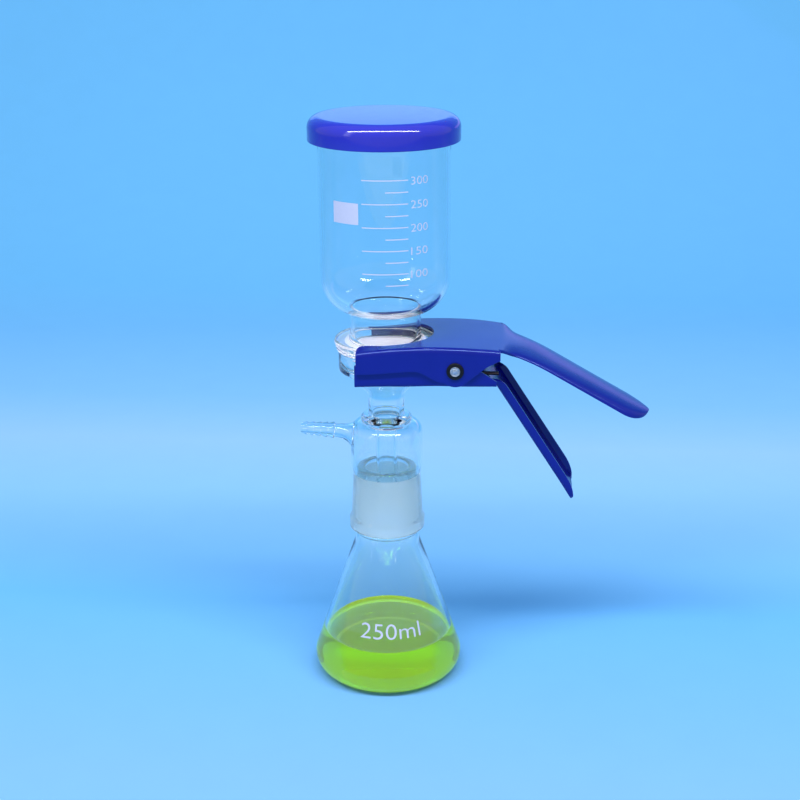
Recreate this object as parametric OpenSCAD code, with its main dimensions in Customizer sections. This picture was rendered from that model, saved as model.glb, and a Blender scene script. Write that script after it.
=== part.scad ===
// Vacuum filtration unit: a lidded, graduated glass funnel, clamped by its flange
// to a glass filter base that plugs over the ground neck of a conical flask.
// Millimetres, +Z up. The origin is the centre of the flask's foot on the bench,
// +X points along the clamp's handles and -X along the hose barb.

/* [Flask] */
// Largest radius of the flask
flask_r = 45; // [42:0.5:50]
// Radius of the rounded corner at the foot
flask_corner_r = 11; // [8:0.5:14]
// Slope of the conical wall from the vertical, in degrees
flask_slope = 19; // [17:0.5:21]
// Thickness of the flask's wall and floor
flask_wall = 2.2; // [1.6:0.1:3]
// Bore radius of the thick neck
neck_bore_r = 13; // [11:0.5:14.5]
// Height of the filtrate's surface above the bench
filtrate_level = 26.5; // [15:0.5:45]

/* [Ground joint] */
// Radius of the joint at its wide lower end
joint_r = 20; // [18:0.5:22]
// Length of the ground zone
joint_length = 35; // [30:1:40]
// Height of the socket's lower end above the bench
joint_z = 95; // [90:1:105]
// Length of polished rim above the ground zone
joint_rim = 4; // [2:0.5:6]

/* [Filter base] */
// Outer radius of the bell
bell_r = 21.3; // [20.8:0.1:24]
// Wall thickness of the bell and the socket
bell_wall = 1.9; // [1.5:0.1:2.1]
// Height of the bell's roof above the ground zone
bell_height = 32.5; // [28:0.5:40]
// Outer radius of the bead round the socket's end
bead_r = 22.7; // [22.2:0.1:25]
// Height of that bead
bead_height = 9; // [5:0.5:12]
// Outer radius of the ring seal
seal_r = 15.1; // [13.5:0.1:16]
// Outer radius of the stem
stem_r = 10.6; // [9:0.1:12]
// Length of the stem between the bell's roof and the cup
stem_length = 15; // [10:0.5:20]
// Outer radius of the drip tube
drip_r = 6.3; // [5:0.1:7]
// Wall thickness of the drip tube
drip_wall = 1.6; // [1:0.1:2]
// Length of the drip tube below the bell's roof
drip_length = 50; // [38:1:60]
// Outer radius of the base flange
base_flange_r = 27.6; // [26:0.1:28]
// Thickness of the base flange
base_flange_t = 12.8; // [10:0.2:16]
// Radius of the frit
frit_r = 20; // [19.5:0.1:21]
// Thickness of the frit
frit_t = 4; // [3:0.5:5]

/* [Hose barb] */
// Distance from the glass axis to the barb's tip
barb_reach = 51; // [46:1:60]
// Number of serrations
barb_count = 5; // [3:1:7]
// Length of one serration
barb_pitch = 4; // [3.2:0.1:4.6]
// Outer radius at the last serration's crest, next to the bell
barb_root_r = 4.9; // [4.5:0.1:5.5]
// Outer radius at the first serration's crest, at the tip
barb_tip_r = 3.9; // [3.6:0.1:4.4]
// Bore radius of the barb
barb_bore_r = 2.2; // [1.8:0.1:2.6]
// Slope of the side arm, rising to the tip, in degrees
barb_rise = 3; // [0:1:10]

/* [Funnel] */
// Thickness of the membrane filter
membrane_t = 0.2; // [0.1:0.05:0.4]
// Radius of the membrane filter
membrane_r = 23.5; // [21.5:0.5:25]
// Largest radius of the funnel flange
funnel_flange_r = 29.9; // [29:0.1:30]
// Thickness of the funnel flange
funnel_flange_t = 6.4; // [6:0.2:10]
// Outer radius of the funnel's neck
funnel_neck_r = 20.5; // [20:0.1:21.4]
// Length of the neck between the flange and the round bottom
funnel_neck_length = 16.3; // [12:0.1:20]
// Outer radius of the graduated cylinder
funnel_r = 37.3; // [35:0.1:40]
// Wall thickness of the funnel
funnel_wall = 2.2; // [1.8:0.1:3]
// Radius of the round bottom's curve
funnel_curve_r = 21; // [18:0.5:24]
// Length of the graduated cylinder, from the round bottom to the rim's top
funnel_length = 89.3; // [80:0.1:110]
// How far the reinforced rim stands out from the cylinder
rim_proud = 2.9; // [1.7:0.1:5]
// Height of the reinforced rim
rim_height = 7.2; // [6:0.1:9]

/* [Scale] */
// Height of the lowest long line above the round bottom's curve
scale_start = 9.8; // [6:0.1:14]
// Height between two long lines
scale_pitch = 12.9; // [11:0.1:14]
// Number of long lines
scale_count = 5; // [3:1:5]
// Turn of the print towards the clamp's handles, in degrees
print_turn = 5; // [-90:1:90]
// Width of a line
scale_line_w = 0.55; // [0.4:0.05:0.8]
// Thickness of the enamel print
enamel_t = 0.12; // [0.08:0.02:0.2]

/* [Lid] */
// Wall thickness of the lid's skirt
lid_wall = 2.1; // [1.5:0.1:3]
// Thickness of the lid's top
lid_top_t = 2.2; // [1.5:0.1:3]
// Outer height of the lid
lid_height = 14; // [12:0.5:20]
// Radius of the lid's rounded upper edge
lid_round_r = 6.4; // [4:0.2:7]
// Radial play between the rim and the lid
lid_play = 0.5; // [0.2:0.1:0.8]

/* [Clamp] */
// Thickness of the clamp's sheet
sheet_t = 1.5; // [1:0.1:2]
// Outer half width of the upper jaw
clamp_half_w = 31.7; // [31.3:0.1:34]
// Distance from the glass axis to the pivot
pivot_x = 42; // [40:0.1:46]
// Reach of the jaws past the glass axis
jaw_reach = 14.2; // [12:0.1:20]
// Length of the clamp's body behind the pivot
body_tail = 25.2; // [23.6:0.1:30]
// Half width of the fork's slot
slot_half_w = 22.5; // [22.3:0.1:24]
// Radius of the lobe round the pivot
lobe_r = 9.4; // [8:0.1:9.8]
// Half width of the upper handle behind its root
upper_handle_w = 22; // [18:0.5:24]
// Half width of the upper handle at its tip
upper_tip_w = 17.5; // [13:0.5:20]
// Half width of the lower handle behind its root
lower_handle_w = 17; // [14:0.5:19]
// Half width of the lower handle at its tip
lower_tip_w = 17; // [12:0.5:19]
// Half width of the upper handle where it leaves the body
upper_root_w = 27.5; // [24:0.5:29]
// Half width of the lower handle where it leaves the body
lower_root_w = 21.5; // [19:0.5:25]
// Length of the upper handle's straight run
upper_handle_run = 64; // [50:1:75]
// Length of the lower handle's straight run
lower_handle_run = 82.5; // [65:0.5:95]
// Droop of the upper handle, in degrees
upper_droop = 28.5; // [25:0.5:32]
// Droop of the lower handle, in degrees
lower_droop = 57; // [54:1:61]

/* [Pivot] */
// Radius of the pivot pin
pin_r = 2.8; // [2.5:0.1:3.6]
// Outer radius of the retaining rings
ring_r = 4.9; // [4.4:0.1:6]
// Thickness of the retaining rings
ring_t = 1.1; // [0.8:0.1:1.6]
// Radius of the spring wire
wire_r = 1.1; // [0.8:0.1:1.3]
// Mean radius of the spring coil
coil_r = 6; // [5.6:0.1:6.6]
// Turns of the spring coil
coil_turns = 7; // [5:1:8]

/* [Hidden] */
$fn = 96;
eps = 0.01;
arc_steps = 10;

// Colours
glass_colour = "lightcyan";
clamp_colour = "mediumblue";
lid_colour = "blue";
print_colour = "white";
steel_colour = "silver";
ring_colour = "black";
filtrate_colour = "greenyellow";

// Fits
joint_fit = 0.03;
filtrate_gap = 0.05;
frit_fit = 0.05;
running_fit = 0.06;
jaw_gap = 0.4;
ring_fit = 0.02;

// Ground joint: standard taper, one in ten on the diameter
taper = 0.05;
function male_r(z) = joint_r - (z - joint_z) * taper;
joint_top = joint_z + joint_length;
flask_top = joint_top + joint_rim;
rim_round = 1.6;
shoulder_drop = 1.5;
neck_swell = 4;

// Flask
foot_r = flask_r - flask_corner_r;
wall_start = [foot_r + flask_corner_r * cos(flask_slope), flask_corner_r * (1 + sin(flask_slope))];
function flask_wall_r(z, inset) =
    wall_start[0] - (z - wall_start[1]) * tan(flask_slope) - inset / cos(flask_slope);
cone_top = joint_z - neck_swell;
bore_z = wall_start[1] + (wall_start[0] - flask_wall / cos(flask_slope) - neck_bore_r) / tan(flask_slope);

// Filter base, from the bench up
bell_top = joint_top + bell_height;
bell_shoulder = 7;
shoulder_sweep = 80;
bell_waist = 7;
bead_swell = 3;
seal_tube = 2.8;
seal_sweep = 35;
seal_rise = 1.5;
seal_z = bell_top + seal_rise;
stem_wall = 2;
stem_bore = stem_r - stem_wall;
stem_top = bell_top + stem_length;
stem_fillet = 0.7;
duct_rise = 1;
duct_z = seal_z + duct_rise;
duct_taper = 7;
drip_fillet = 3;
cup_side = 21.5;
cup_height = 16.7;
cup_lift = 1;
base_flange_z = stem_top + cup_height;
base_chamfer = 1;
frit_ledge = 1.7;
flange_z = base_flange_z + base_flange_t;
frit_ledge_r = frit_r - frit_ledge;
drip_tip = bell_top - drip_length;
socket_chamfer = 0.6;
bead_round = 1.3;

// Hose barb
arm_drop = 9;
barb_z = bell_top - arm_drop;
flare_r = 10.5;
flare_bore_r = 4;
flare_lip = 0.3;
arm_start = bell_r - 2 * bell_wall;
barb_start = barb_reach - barb_count * barb_pitch;
barb_step = 0.9;
barb_lip = 0.1;

// Funnel
funnel_z = flange_z + membrane_t;
funnel_flange_top = funnel_z + funnel_flange_t;
flange_round = 1.4;
flange_taper = 1.1;
flange_chamfer = 0.7;
neck_wall = 2;
funnel_bore = funnel_neck_r - neck_wall;
curve_x = funnel_r - funnel_curve_r;
curve_z = funnel_flange_top + funnel_neck_length
    + sqrt(pow(funnel_curve_r, 2) - pow(funnel_neck_r - curve_x, 2));
rim_top = curve_z + funnel_length;
rim_r = funnel_r + rim_proud;
rim_bottom = rim_top - rim_height;
rim_round_r = 2.6;
rim_swell = 2.5;
rim_inner_r = 1;
neck_fillet = 1;

// Scale: angles from the middle of the print, which faces -Y where its turn is none
long_line = [-19, 20.5];
short_line = [1, 20.5];
patch_angles = [-47.5, -22];
patch_size = 11.7;
patch_row = 2.1;

// Lid
lid_inner_r = rim_r + lid_play;
lid_r = lid_inner_r + lid_wall;
lid_top = rim_top + lid_top_t;
lid_bottom = lid_top - lid_height;
lid_corner_r = 2;
lid_lip_r = 0.6;

// Clamp
bend_r = 2.4;
upper_z = funnel_flange_top + sheet_t;
lower_z = base_flange_z - sheet_t;
pivot_z = (upper_z + lower_z) / 2;
lower_half_w = clamp_half_w - sheet_t - jaw_gap;
body_end = pivot_x + body_tail;
slot_deep = 28;
fork_round = 5;
fork_nip = 0.1;
side_lap = 4;
side_open = flange_z - side_lap;
side_dip = 2.5;
lobe_front = 23;
lobe_back = 18;
lobe_sweep = 48;
lobe_down = 270;
side_rise = 3.5;
tail_up = 6;
tail_low = 7;
ear_play = 0.4;
ear_sweep = 70;
ear_up = 90;
ear_front = 14;
lower_lap = 2;
lower_edge = flange_z - lower_lap;
cut_margin = 1;
jaw_overhang = 1;
handle_lap = 1;
root_lap = 0.05;
upper_depths = [2.6, 5.7];
lower_depths = [6, 6];
upper_section_power = 2.4;
lower_section_power = 7;
upper_tip_power = 2;
lower_tip_power = 7;
tip_stretch = 0.9;
root_length = 11;
upper_bend_r = 12;
upper_sweep_r = 140;
first_bend = 0.57;
upper_bends = [[upper_bend_r, first_bend * upper_droop],
               [upper_sweep_r, (1 - first_bend) * upper_droop]];
lower_bend_r = 9;
lower_bends = [[lower_bend_r, lower_droop]];
lower_step = 2;
lower_end = body_end - lower_step;
lower_set_in = 10.2;
lower_root = body_end - lower_set_in;
section_steps = 9;

// Pivot
pin_crown = 0.5;
pin_proud = 0.2;
pin_end = clamp_half_w + ring_t + pin_proud;
coil_gap = 0.35;
coil_pitch = 2 * wire_r + coil_gap;
coil_half_w = coil_turns * coil_pitch / 2;
leg_reach = 24;
leg_play = 0.05;
wire_sides = 8;
turn_steps = 20;
coil_steps = turn_steps * (coil_turns + 0.5);

// Points of an arc round a centre, from one angle to another
function arc(centre, r, from, to, steps = arc_steps) =
    [for (i = [0:steps])
        let (a = from + (to - from) * i / steps)
        [centre[0] + r * cos(a), centre[1] + r * sin(a)]];

// Smooth step from one radius to another over a height, as points
function swell(r0, z0, r1, z1, steps = arc_steps) =
    [for (i = [0:steps])
        [r0 + (r1 - r0) * (1 - cos(180 * i / steps)) / 2, z0 + (z1 - z0) * i / steps]];

module revolve(points) {
    rotate_extrude() polygon(points);
}

// Outline of the flask's inside up to a height, drawn back from the glass by a gap
function belly(gap) = concat(
    [[0, flask_wall + gap]],
    arc([foot_r, flask_corner_r], flask_corner_r - flask_wall - gap, -90, flask_slope));

module flask() {
    rim_outer = male_r(flask_top) - rim_round;
    color(glass_colour, 0.4)
        revolve(concat(
            [[0, 0]],
            arc([foot_r, flask_corner_r], flask_corner_r, -90, flask_slope),
            swell(flask_wall_r(cone_top, 0), cone_top,
                  male_r(joint_z - shoulder_drop), joint_z - shoulder_drop),
            arc([rim_outer, flask_top - rim_round], rim_round, 0, 90),
            arc([neck_bore_r + rim_round, flask_top - rim_round], rim_round, 90, 180),
            [[neck_bore_r, bore_z]],
            [for (i = [len(belly(0)) - 1:-1:0]) belly(0)[i]]));
}

module filtrate() {
    color(filtrate_colour, 0.7)
        revolve(concat(
            belly(filtrate_gap),
            [[flask_wall_r(filtrate_level, flask_wall + filtrate_gap), filtrate_level],
             [0, filtrate_level]]));
}

// Half outline of the filter base: up the outside, then down the inside
function base_outside() = concat(
    [[joint_r + socket_chamfer, joint_z]],
    arc([bead_r - bead_round, joint_z + bead_round], bead_round, -90, 0),
    swell(bead_r, joint_z + bead_height - bead_swell,
          male_r(joint_z + bead_height) + bell_wall, joint_z + bead_height),
    swell(male_r(joint_top) + bell_wall, joint_top, bell_r, joint_top + bell_waist),
    arc([bell_r - bell_shoulder, bell_top - bell_shoulder], bell_shoulder, 0, shoulder_sweep),
    arc([seal_r - seal_tube, seal_z], seal_tube, -seal_sweep, 90),
    [[stem_r + stem_fillet, seal_z + seal_tube], [stem_r, seal_z + seal_tube + stem_fillet]],
    swell(stem_r, stem_top, cup_side, base_flange_z),
    [[base_flange_r - base_chamfer, base_flange_z],
     [base_flange_r, base_flange_z + base_chamfer],
     [base_flange_r, flange_z - flange_chamfer], [base_flange_r - flange_chamfer, flange_z]]);

function base_inside() = concat(
    [[frit_r + frit_fit, flange_z], [frit_r + frit_fit, flange_z - frit_t - frit_fit],
     [frit_ledge_r, flange_z - frit_t - frit_fit]],
    swell(frit_ledge_r, base_flange_z + cup_lift, stem_bore, stem_top + cup_lift),
    swell(stem_bore, duct_z, drip_r - drip_wall, duct_z - duct_taper),
    [[drip_r - drip_wall, drip_tip], [drip_r, drip_tip]],
    arc([drip_r + drip_fillet, bell_top - bell_wall - drip_fillet], drip_fillet, 180, 90),
    arc([bell_r - bell_shoulder, bell_top - bell_shoulder], bell_shoulder - bell_wall, 90, 0),
    swell(bell_r - bell_wall, joint_top + bell_waist, male_r(joint_top) + joint_fit, joint_top),
    [[male_r(joint_z + socket_chamfer) + joint_fit, joint_z + socket_chamfer]]);

// Side arm's own axis, from the bell's axis out to the tip
module along_arm() {
    translate([0, 0, barb_z]) rotate([0, barb_rise - 90, 0]) children();
}

// Inside of the bell's glass, half way through its wall
module bell_core() {
    mid_wall = bell_wall / 2;
    revolve(concat(
        [[0, joint_top], [bell_r - mid_wall, joint_top]],
        arc([bell_r - bell_shoulder, bell_top - bell_shoulder], bell_shoulder - mid_wall, 0, 90),
        [[0, bell_top - mid_wall]]));
}

// Side arm, with a flare that runs into the bell and is flat on top at its shoulder
module side_arm() {
    flare_length = barb_start - bell_r;
    flare_height = flare_r - barb_root_r + barb_step;
    difference() {
        along_arm()
            revolve(concat(
                [[0, arm_start], [flare_r, arm_start]],
                [for (i = [0:arc_steps])
                    let (a = 90 * i / arc_steps)
                    [flare_r - flare_height * sin(a), barb_start - flare_length * cos(a)]],
                [for (i = [0:barb_count - 1])
                    let (crest = barb_root_r + (barb_tip_r - barb_root_r) * i / (barb_count - 1),
                         crest_x = barb_start + (i + barb_lip) * barb_pitch)
                    each [[crest, crest_x], [crest - barb_step, barb_start + (i + 1) * barb_pitch]]],
                [[0, barb_reach]]));
        along_arm()
            translate([barb_root_r + flare_lip, -2 * flare_r, 0]) cube([flare_r, 4 * flare_r, barb_start]);
        bell_core();
    }
}

module arm_bore() {
    along_arm() {
        translate([0, 0, drip_r + cut_margin]) cylinder(h = barb_reach - drip_r, r = barb_bore_r);
        translate([0, 0, arm_start])
            cylinder(h = barb_start - arm_start, r1 = flare_bore_r, r2 = barb_bore_r);
    }
}

module vacuum_adapter() {
    color(glass_colour, 0.4)
        difference() {
            union() {
                revolve(concat(base_outside(), base_inside()));
                side_arm();
            }
            arm_bore();
        }
}

module support_frit() {
    color(print_colour)
        translate([0, 0, flange_z - frit_t]) cylinder(h = frit_t, r = frit_r);
}

module membrane_filter() {
    color(print_colour)
        translate([0, 0, flange_z]) cylinder(h = membrane_t, r = membrane_r);
}

module funnel() {
    neck_angle = -acos((funnel_neck_r - curve_x) / funnel_curve_r);
    inner_curve = funnel_curve_r - funnel_wall;
    bore_angle = -acos((funnel_bore - curve_x) / inner_curve);
    color(glass_colour, 0.4)
        revolve(concat(
            [[funnel_bore, funnel_z], [funnel_flange_r - flange_taper, funnel_z]],
            arc([funnel_flange_r - flange_round, funnel_flange_top - flange_round], flange_round, 0, 90),
            arc([funnel_neck_r + neck_fillet, funnel_flange_top + neck_fillet], neck_fillet, -90, -180, 4),
            arc([curve_x, curve_z], funnel_curve_r, neck_angle, 0, 2 * arc_steps),
            swell(funnel_r, rim_bottom - rim_swell / 2, rim_r, rim_bottom + rim_swell / 2, 6),
            arc([rim_r - rim_round_r, rim_top - rim_round_r], rim_round_r, 0, 90),
            arc([funnel_r - funnel_wall + rim_inner_r, rim_top - rim_inner_r], rim_inner_r, 90, 180, 4),
            arc([curve_x, curve_z], inner_curve, 0, bore_angle, 2 * arc_steps)));
}

// A band of print on the funnel's outside, between two heights and two angles from its middle
module print_band(z, height, angles) {
    translate([0, 0, z]) rotate([0, 0, print_turn + angles[0] - 90])
        rotate_extrude(angle = angles[1] - angles[0])
            translate([funnel_r, 0]) square([enamel_t, height]);
}

module scale_lines() {
    color(print_colour)
        for (i = [0:scale_count - 1]) {
            z = curve_z + scale_start + i * scale_pitch;
            print_band(z - scale_line_w / 2, scale_line_w, long_line);
            print_band(z - (scale_pitch + scale_line_w) / 2, scale_line_w, short_line);
        }
}

module writing_patch() {
    z = curve_z + scale_start + patch_row * scale_pitch;
    color(print_colour) print_band(z, patch_size, patch_angles);
}

module lid() {
    color(lid_colour)
        revolve(concat(
            [[0, lid_top]],
            arc([lid_r - lid_round_r, lid_top - lid_round_r], lid_round_r, 90, 0),
            arc([lid_r - lid_lip_r, lid_bottom + lid_lip_r], lid_lip_r, 0, -90, 4),
            [[lid_inner_r, lid_bottom]],
            arc([lid_inner_r - lid_corner_r, rim_top - lid_corner_r], lid_corner_r, 0, 90, 6),
            [[0, rim_top]]));
}

// Folded channel of the clamp, closed at the top, drawn along X from 0
module channel(half_w, height, length) {
    rotate([90, 0, 90]) linear_extrude(length)
        difference() {
            union() {
                translate([-half_w, 0]) square([2 * half_w, height - bend_r]);
                translate([bend_r - half_w, 0]) square([2 * (half_w - bend_r), height]);
                for (side = [-1, 1]) translate([side * (half_w - bend_r), height - bend_r]) circle(bend_r);
            }
            translate([sheet_t - half_w, -eps]) square([2 * (half_w - sheet_t), height - bend_r + eps]);
            translate([bend_r - half_w, -eps]) square([2 * (half_w - bend_r), height - sheet_t + eps]);
            for (side = [-1, 1])
                translate([side * (half_w - bend_r), height - bend_r]) circle(bend_r - sheet_t);
        }
}

// Side view cut, drawn across the whole clamp
module side_cut(points) {
    rotate([90, 0, 0]) linear_extrude(3 * clamp_half_w, center = true) polygon(points);
}

// The fork's slot: round at its inner end and open at the tips of the jaws
module slot() {
    translate([0, 0, -eps]) linear_extrude(sheet_t + 2 * eps) {
        translate([slot_deep - slot_half_w, 0]) circle(slot_half_w);
        translate([-2 * jaw_reach, -slot_half_w])
            square([2 * jaw_reach + slot_deep - slot_half_w, 2 * slot_half_w]);
        for (side = [-1, 1]) scale([1, side])
            translate([-jaw_reach - jaw_overhang, slot_half_w])
                difference() {
                    translate([-eps, -eps]) square(fork_round);
                    translate([fork_round - fork_nip, fork_round - fork_nip]) circle(fork_round);
                }
    }
}

module pivot_hole(r) {
    translate([pivot_x, 0, pivot_z]) rotate([90, 0, 0])
        cylinder(h = 3 * clamp_half_w, r = r, center = true);
}

// Path of a handle in the side view: bends given as radius and turn, then a straight run
function bend_length(bend) = bend[0] * bend[1] * PI / 180;
function path_turn(bends, s, i = 0) =
    i >= len(bends) || s <= 0 ? 0 :
    min(s, bend_length(bends[i])) / bends[i][0] * 180 / PI
        + path_turn(bends, s - bend_length(bends[i]), i + 1);
function path_step(bends, s, heading = 0, i = 0) =
    i >= len(bends) ? [s * cos(heading), -s * sin(heading)] :
    let (part = min(s, bend_length(bends[i])),
         r = bends[i][0],
         turned = heading + part / r * 180 / PI,
         move = [r * (sin(turned) - sin(heading)), -r * (cos(heading) - cos(turned))])
    s <= bend_length(bends[i]) ? move : move + path_step(bends, s - part, turned, i + 1);
function bends_length(bends, i = 0) =
    i >= len(bends) ? 0 : bend_length(bends[i]) + bends_length(bends, i + 1);

// Half a rounded box, squarer as its power grows, as points across the handle. The lap
// thins the sheet from both faces, so that the root lies inside the body's own sheet
function handle_ring(half_w, depth, thick, power, lap) =
    let (k = 2 / power)
    concat(
        [for (i = [-section_steps:section_steps])
            let (a = 90 * i / section_steps)
            [half_w * sign(a) * pow(abs(sin(a)), k), -lap - (depth - lap) * (1 - pow(cos(a), k))]],
        [for (i = [section_steps:-1:-section_steps])
            let (a = 90 * i / section_steps)
            [(half_w - thick) * sign(a) * pow(abs(sin(a)), k),
             lap - thick - (depth + lap - thick) * (1 - pow(cos(a), k))]]);

// Handle swept from a start point. Half widths and depths run from behind the root to
// the tip, the stations are distances along the path, and side is 1 with the folds down
module handle(start, bends, run, root_w, widths, depths, powers, side) {
    length = bends_length(bends) + run;
    tip = tip_stretch * widths[1];
    root_d = 1.2 * sheet_t;
    stations = concat(
        [0, 0.25 * root_length, 0.5 * root_length, 0.75 * root_length],
        [for (i = [0:9]) root_length + i * (length - tip - root_length) / 10],
        [for (i = [0:7]) length - tip * (1 - sin(90 * i / 7.6))]);
    rings = [for (s = stations)
        let (turn = path_turn(bends, s),
             place = path_step(bends, s),
             near_tip = max(0, (s - length + tip) / tip),
             near_root = max(0, 1 - s / root_length),
             half_w = widths[0] + (widths[1] - widths[0]) * s / length,
             depth = depths[0] + (depths[1] - depths[0]) * s / length,
             spread = half_w + (root_w - half_w) * pow(near_root, 2) - sheet_t,
             w = sheet_t + spread * pow(1 - pow(near_tip, powers[1]), 1 / powers[1]),
             d = root_d + (depth - root_d) * (1 - pow(near_root, 2)) * sqrt(1 - pow(near_tip, 2)))
        [for (p = handle_ring(w, d, sheet_t, powers[0], root_lap * near_root))
            [start[0] + place[0] + side * p[1] * sin(turn),
             p[0],
             start[1] + place[1] + side * p[1] * cos(turn)]]];
    count = len(rings[0]);
    half = count / 2;
    last = len(rings) - 1;
    faces = concat(
        [for (j = [0:last - 1], i = [0:count - 1])
            let (n = (i + 1) % count)
            [j * count + i, j * count + n, (j + 1) * count + n, (j + 1) * count + i]],
        [for (i = [0:half - 2]) [i, count - 1 - i, count - 2 - i, i + 1]],
        [for (i = [0:half - 2])
            let (n = last * count)
            [n + i, n + i + 1, n + count - 2 - i, n + count - 1 - i]]);
    polyhedron(
        [for (r = rings) each r],
        [for (f = faces) side > 0 ? f : [f[3], f[2], f[1], f[0]]]);
}

// Side outline of the upper jaw: lower edge with the lobe round the pivot
module upper_side() {
    side_cut(concat(
        [[-jaw_reach, upper_z + cut_margin], [-jaw_reach, side_open - side_dip],
         [pivot_x - lobe_front, side_open]],
        arc([pivot_x, pivot_z], lobe_r, lobe_down - lobe_sweep, lobe_down + lobe_sweep),
        [[pivot_x + lobe_back, side_open + side_rise], [body_end, pivot_z + tail_up],
         [body_end, upper_z + cut_margin]]));
}

module upper_jaw() {
    color(clamp_colour)
        difference() {
            union() {
                intersection() {
                    translate([-2 * jaw_reach, 0, lower_z])
                        channel(clamp_half_w, upper_z - lower_z, body_end + 3 * jaw_reach);
                    upper_side();
                }
                handle([body_end - handle_lap, upper_z], upper_bends, upper_handle_run,
                       upper_root_w, [upper_handle_w, upper_tip_w], upper_depths,
                       [upper_section_power, upper_tip_power], 1);
            }
            translate([0, 0, upper_z - sheet_t]) slot();
            pivot_hole(pin_r + ring_fit);
        }
}

// Side outline of the lower jaw: its upper edge, with the ear round the pivot
module lower_side() {
    side_cut(concat(
        [[-jaw_reach - jaw_overhang, lower_z - cut_margin], [lower_end, lower_z - cut_margin],
         [lower_end, pivot_z - tail_low]],
        arc([pivot_x, pivot_z], lobe_r - ear_play, ear_up - ear_sweep, ear_up + ear_sweep),
        [[pivot_x - ear_front, lower_edge], [-jaw_reach - jaw_overhang, lower_edge]]));
}

module lower_jaw() {
    color(clamp_colour)
        difference() {
            union() {
                difference() {
                    intersection() {
                        translate([-2 * jaw_reach, 0, upper_z]) mirror([0, 0, 1])
                            channel(lower_half_w, upper_z - lower_z, body_end + 3 * jaw_reach);
                        lower_side();
                    }
                    translate([lower_root + handle_lap, bend_r - lower_half_w, lower_z - eps])
                        cube([body_end - lower_root, 2 * (lower_half_w - bend_r), 2 * bend_r]);
                }
                handle([lower_root, lower_z], lower_bends, lower_handle_run,
                       lower_root_w, [lower_handle_w, lower_tip_w], lower_depths,
                       [lower_section_power, lower_tip_power], -1);
            }
            translate([0, 0, lower_z]) slot();
            pivot_hole(pin_r + running_fit);
        }
}

module pivot_pin() {
    color(steel_colour)
        translate([pivot_x, 0, pivot_z]) rotate([90, 0, 0])
            revolve([[0, -pin_end], [pin_r - pin_crown, -pin_end], [pin_r, pin_crown - pin_end],
                     [pin_r, pin_end - pin_crown], [pin_r - pin_crown, pin_end], [0, pin_end]]);
}

module retaining_ring(side) {
    color(ring_colour)
        translate([pivot_x, side * (clamp_half_w + ring_t / 2), pivot_z]) rotate([90, 0, 0])
            difference() {
                cylinder(h = ring_t, r = ring_r, center = true);
                cylinder(h = 2 * ring_t, r = pin_r + ring_fit, center = true);
            }
}

// Centre line of the spring's wire round the pivot: a leg on the lower jaw, the coil
// and a leg on the upper jaw
spring_path = concat(
    [[leg_reach, -coil_half_w, lower_z + sheet_t + wire_r + leg_play - pivot_z]],
    [for (i = [0:coil_steps])
        let (a = 360 * i / turn_steps)
        [-coil_r * sin(a), coil_half_w * (2 * i / coil_steps - 1), -coil_r * cos(a)]],
    [[leg_reach, coil_half_w, upper_z - sheet_t - wire_r - pivot_z]]);

module torsion_spring() {
    count = len(spring_path);
    rings = [for (j = [0:count - 1])
        let (ahead = spring_path[min(j + 1, count - 1)],
             behind = spring_path[max(j - 1, 0)],
             along = (ahead - behind) / norm(ahead - behind),
             across = cross(along, [0, 1, 0]) / norm(cross(along, [0, 1, 0])),
             up = cross(along, across))
        [for (k = [0:wire_sides - 1])
            let (a = 360 * k / wire_sides)
            spring_path[j] + wire_r * (across * cos(a) + up * sin(a))]];
    faces = concat(
        [for (j = [0:count - 2], k = [0:wire_sides - 1])
            let (n = (k + 1) % wire_sides)
            [j * wire_sides + k, (j + 1) * wire_sides + k, (j + 1) * wire_sides + n, j * wire_sides + n]],
        [[for (k = [0:wire_sides - 1]) k]],
        [[for (k = [wire_sides - 1:-1:0]) (count - 1) * wire_sides + k]]);
    color(steel_colour)
        translate([pivot_x, 0, pivot_z]) polyhedron([for (r = rings) each r], faces, 4);
}

flask();
filtrate();
vacuum_adapter();
support_frit();
membrane_filter();
funnel();
scale_lines();
writing_patch();
lid();
upper_jaw();
lower_jaw();
pivot_pin();
retaining_ring(-1);  // front_retaining_ring
retaining_ring(1);  // rear_retaining_ring
torsion_spring();
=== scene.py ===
# Vacuum filtration unit: lidded glass funnel, sprung clamp, filter base and conical flask
import math
import bpy
from mathutils import Matrix, Vector


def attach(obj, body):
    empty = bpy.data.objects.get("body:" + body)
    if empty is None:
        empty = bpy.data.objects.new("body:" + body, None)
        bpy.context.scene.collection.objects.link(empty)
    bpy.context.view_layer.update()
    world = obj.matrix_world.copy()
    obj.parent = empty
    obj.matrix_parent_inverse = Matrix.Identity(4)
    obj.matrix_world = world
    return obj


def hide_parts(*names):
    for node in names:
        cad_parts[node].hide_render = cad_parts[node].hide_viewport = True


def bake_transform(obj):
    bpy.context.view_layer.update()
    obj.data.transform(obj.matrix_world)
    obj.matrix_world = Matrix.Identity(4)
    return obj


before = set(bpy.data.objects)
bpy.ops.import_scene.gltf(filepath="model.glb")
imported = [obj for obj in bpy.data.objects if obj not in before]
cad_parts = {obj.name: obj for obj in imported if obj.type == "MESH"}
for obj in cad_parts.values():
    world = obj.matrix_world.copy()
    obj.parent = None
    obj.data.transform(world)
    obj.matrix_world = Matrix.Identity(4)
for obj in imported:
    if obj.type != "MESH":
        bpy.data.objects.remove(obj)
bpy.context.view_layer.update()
mm = 0.001
scene = bpy.context.scene
scene.view_settings.view_transform = "Standard"  # plain colours, as the studio shows them
scene.cycles.max_bounces = 48  # several glass walls stand one behind another
scene.cycles.transmission_bounces = 48
scene.cycles.glossy_bounces = 16
scene.cycles.sample_clamp_indirect = 20
scene.cycles.blur_glossy = 1.0


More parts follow.
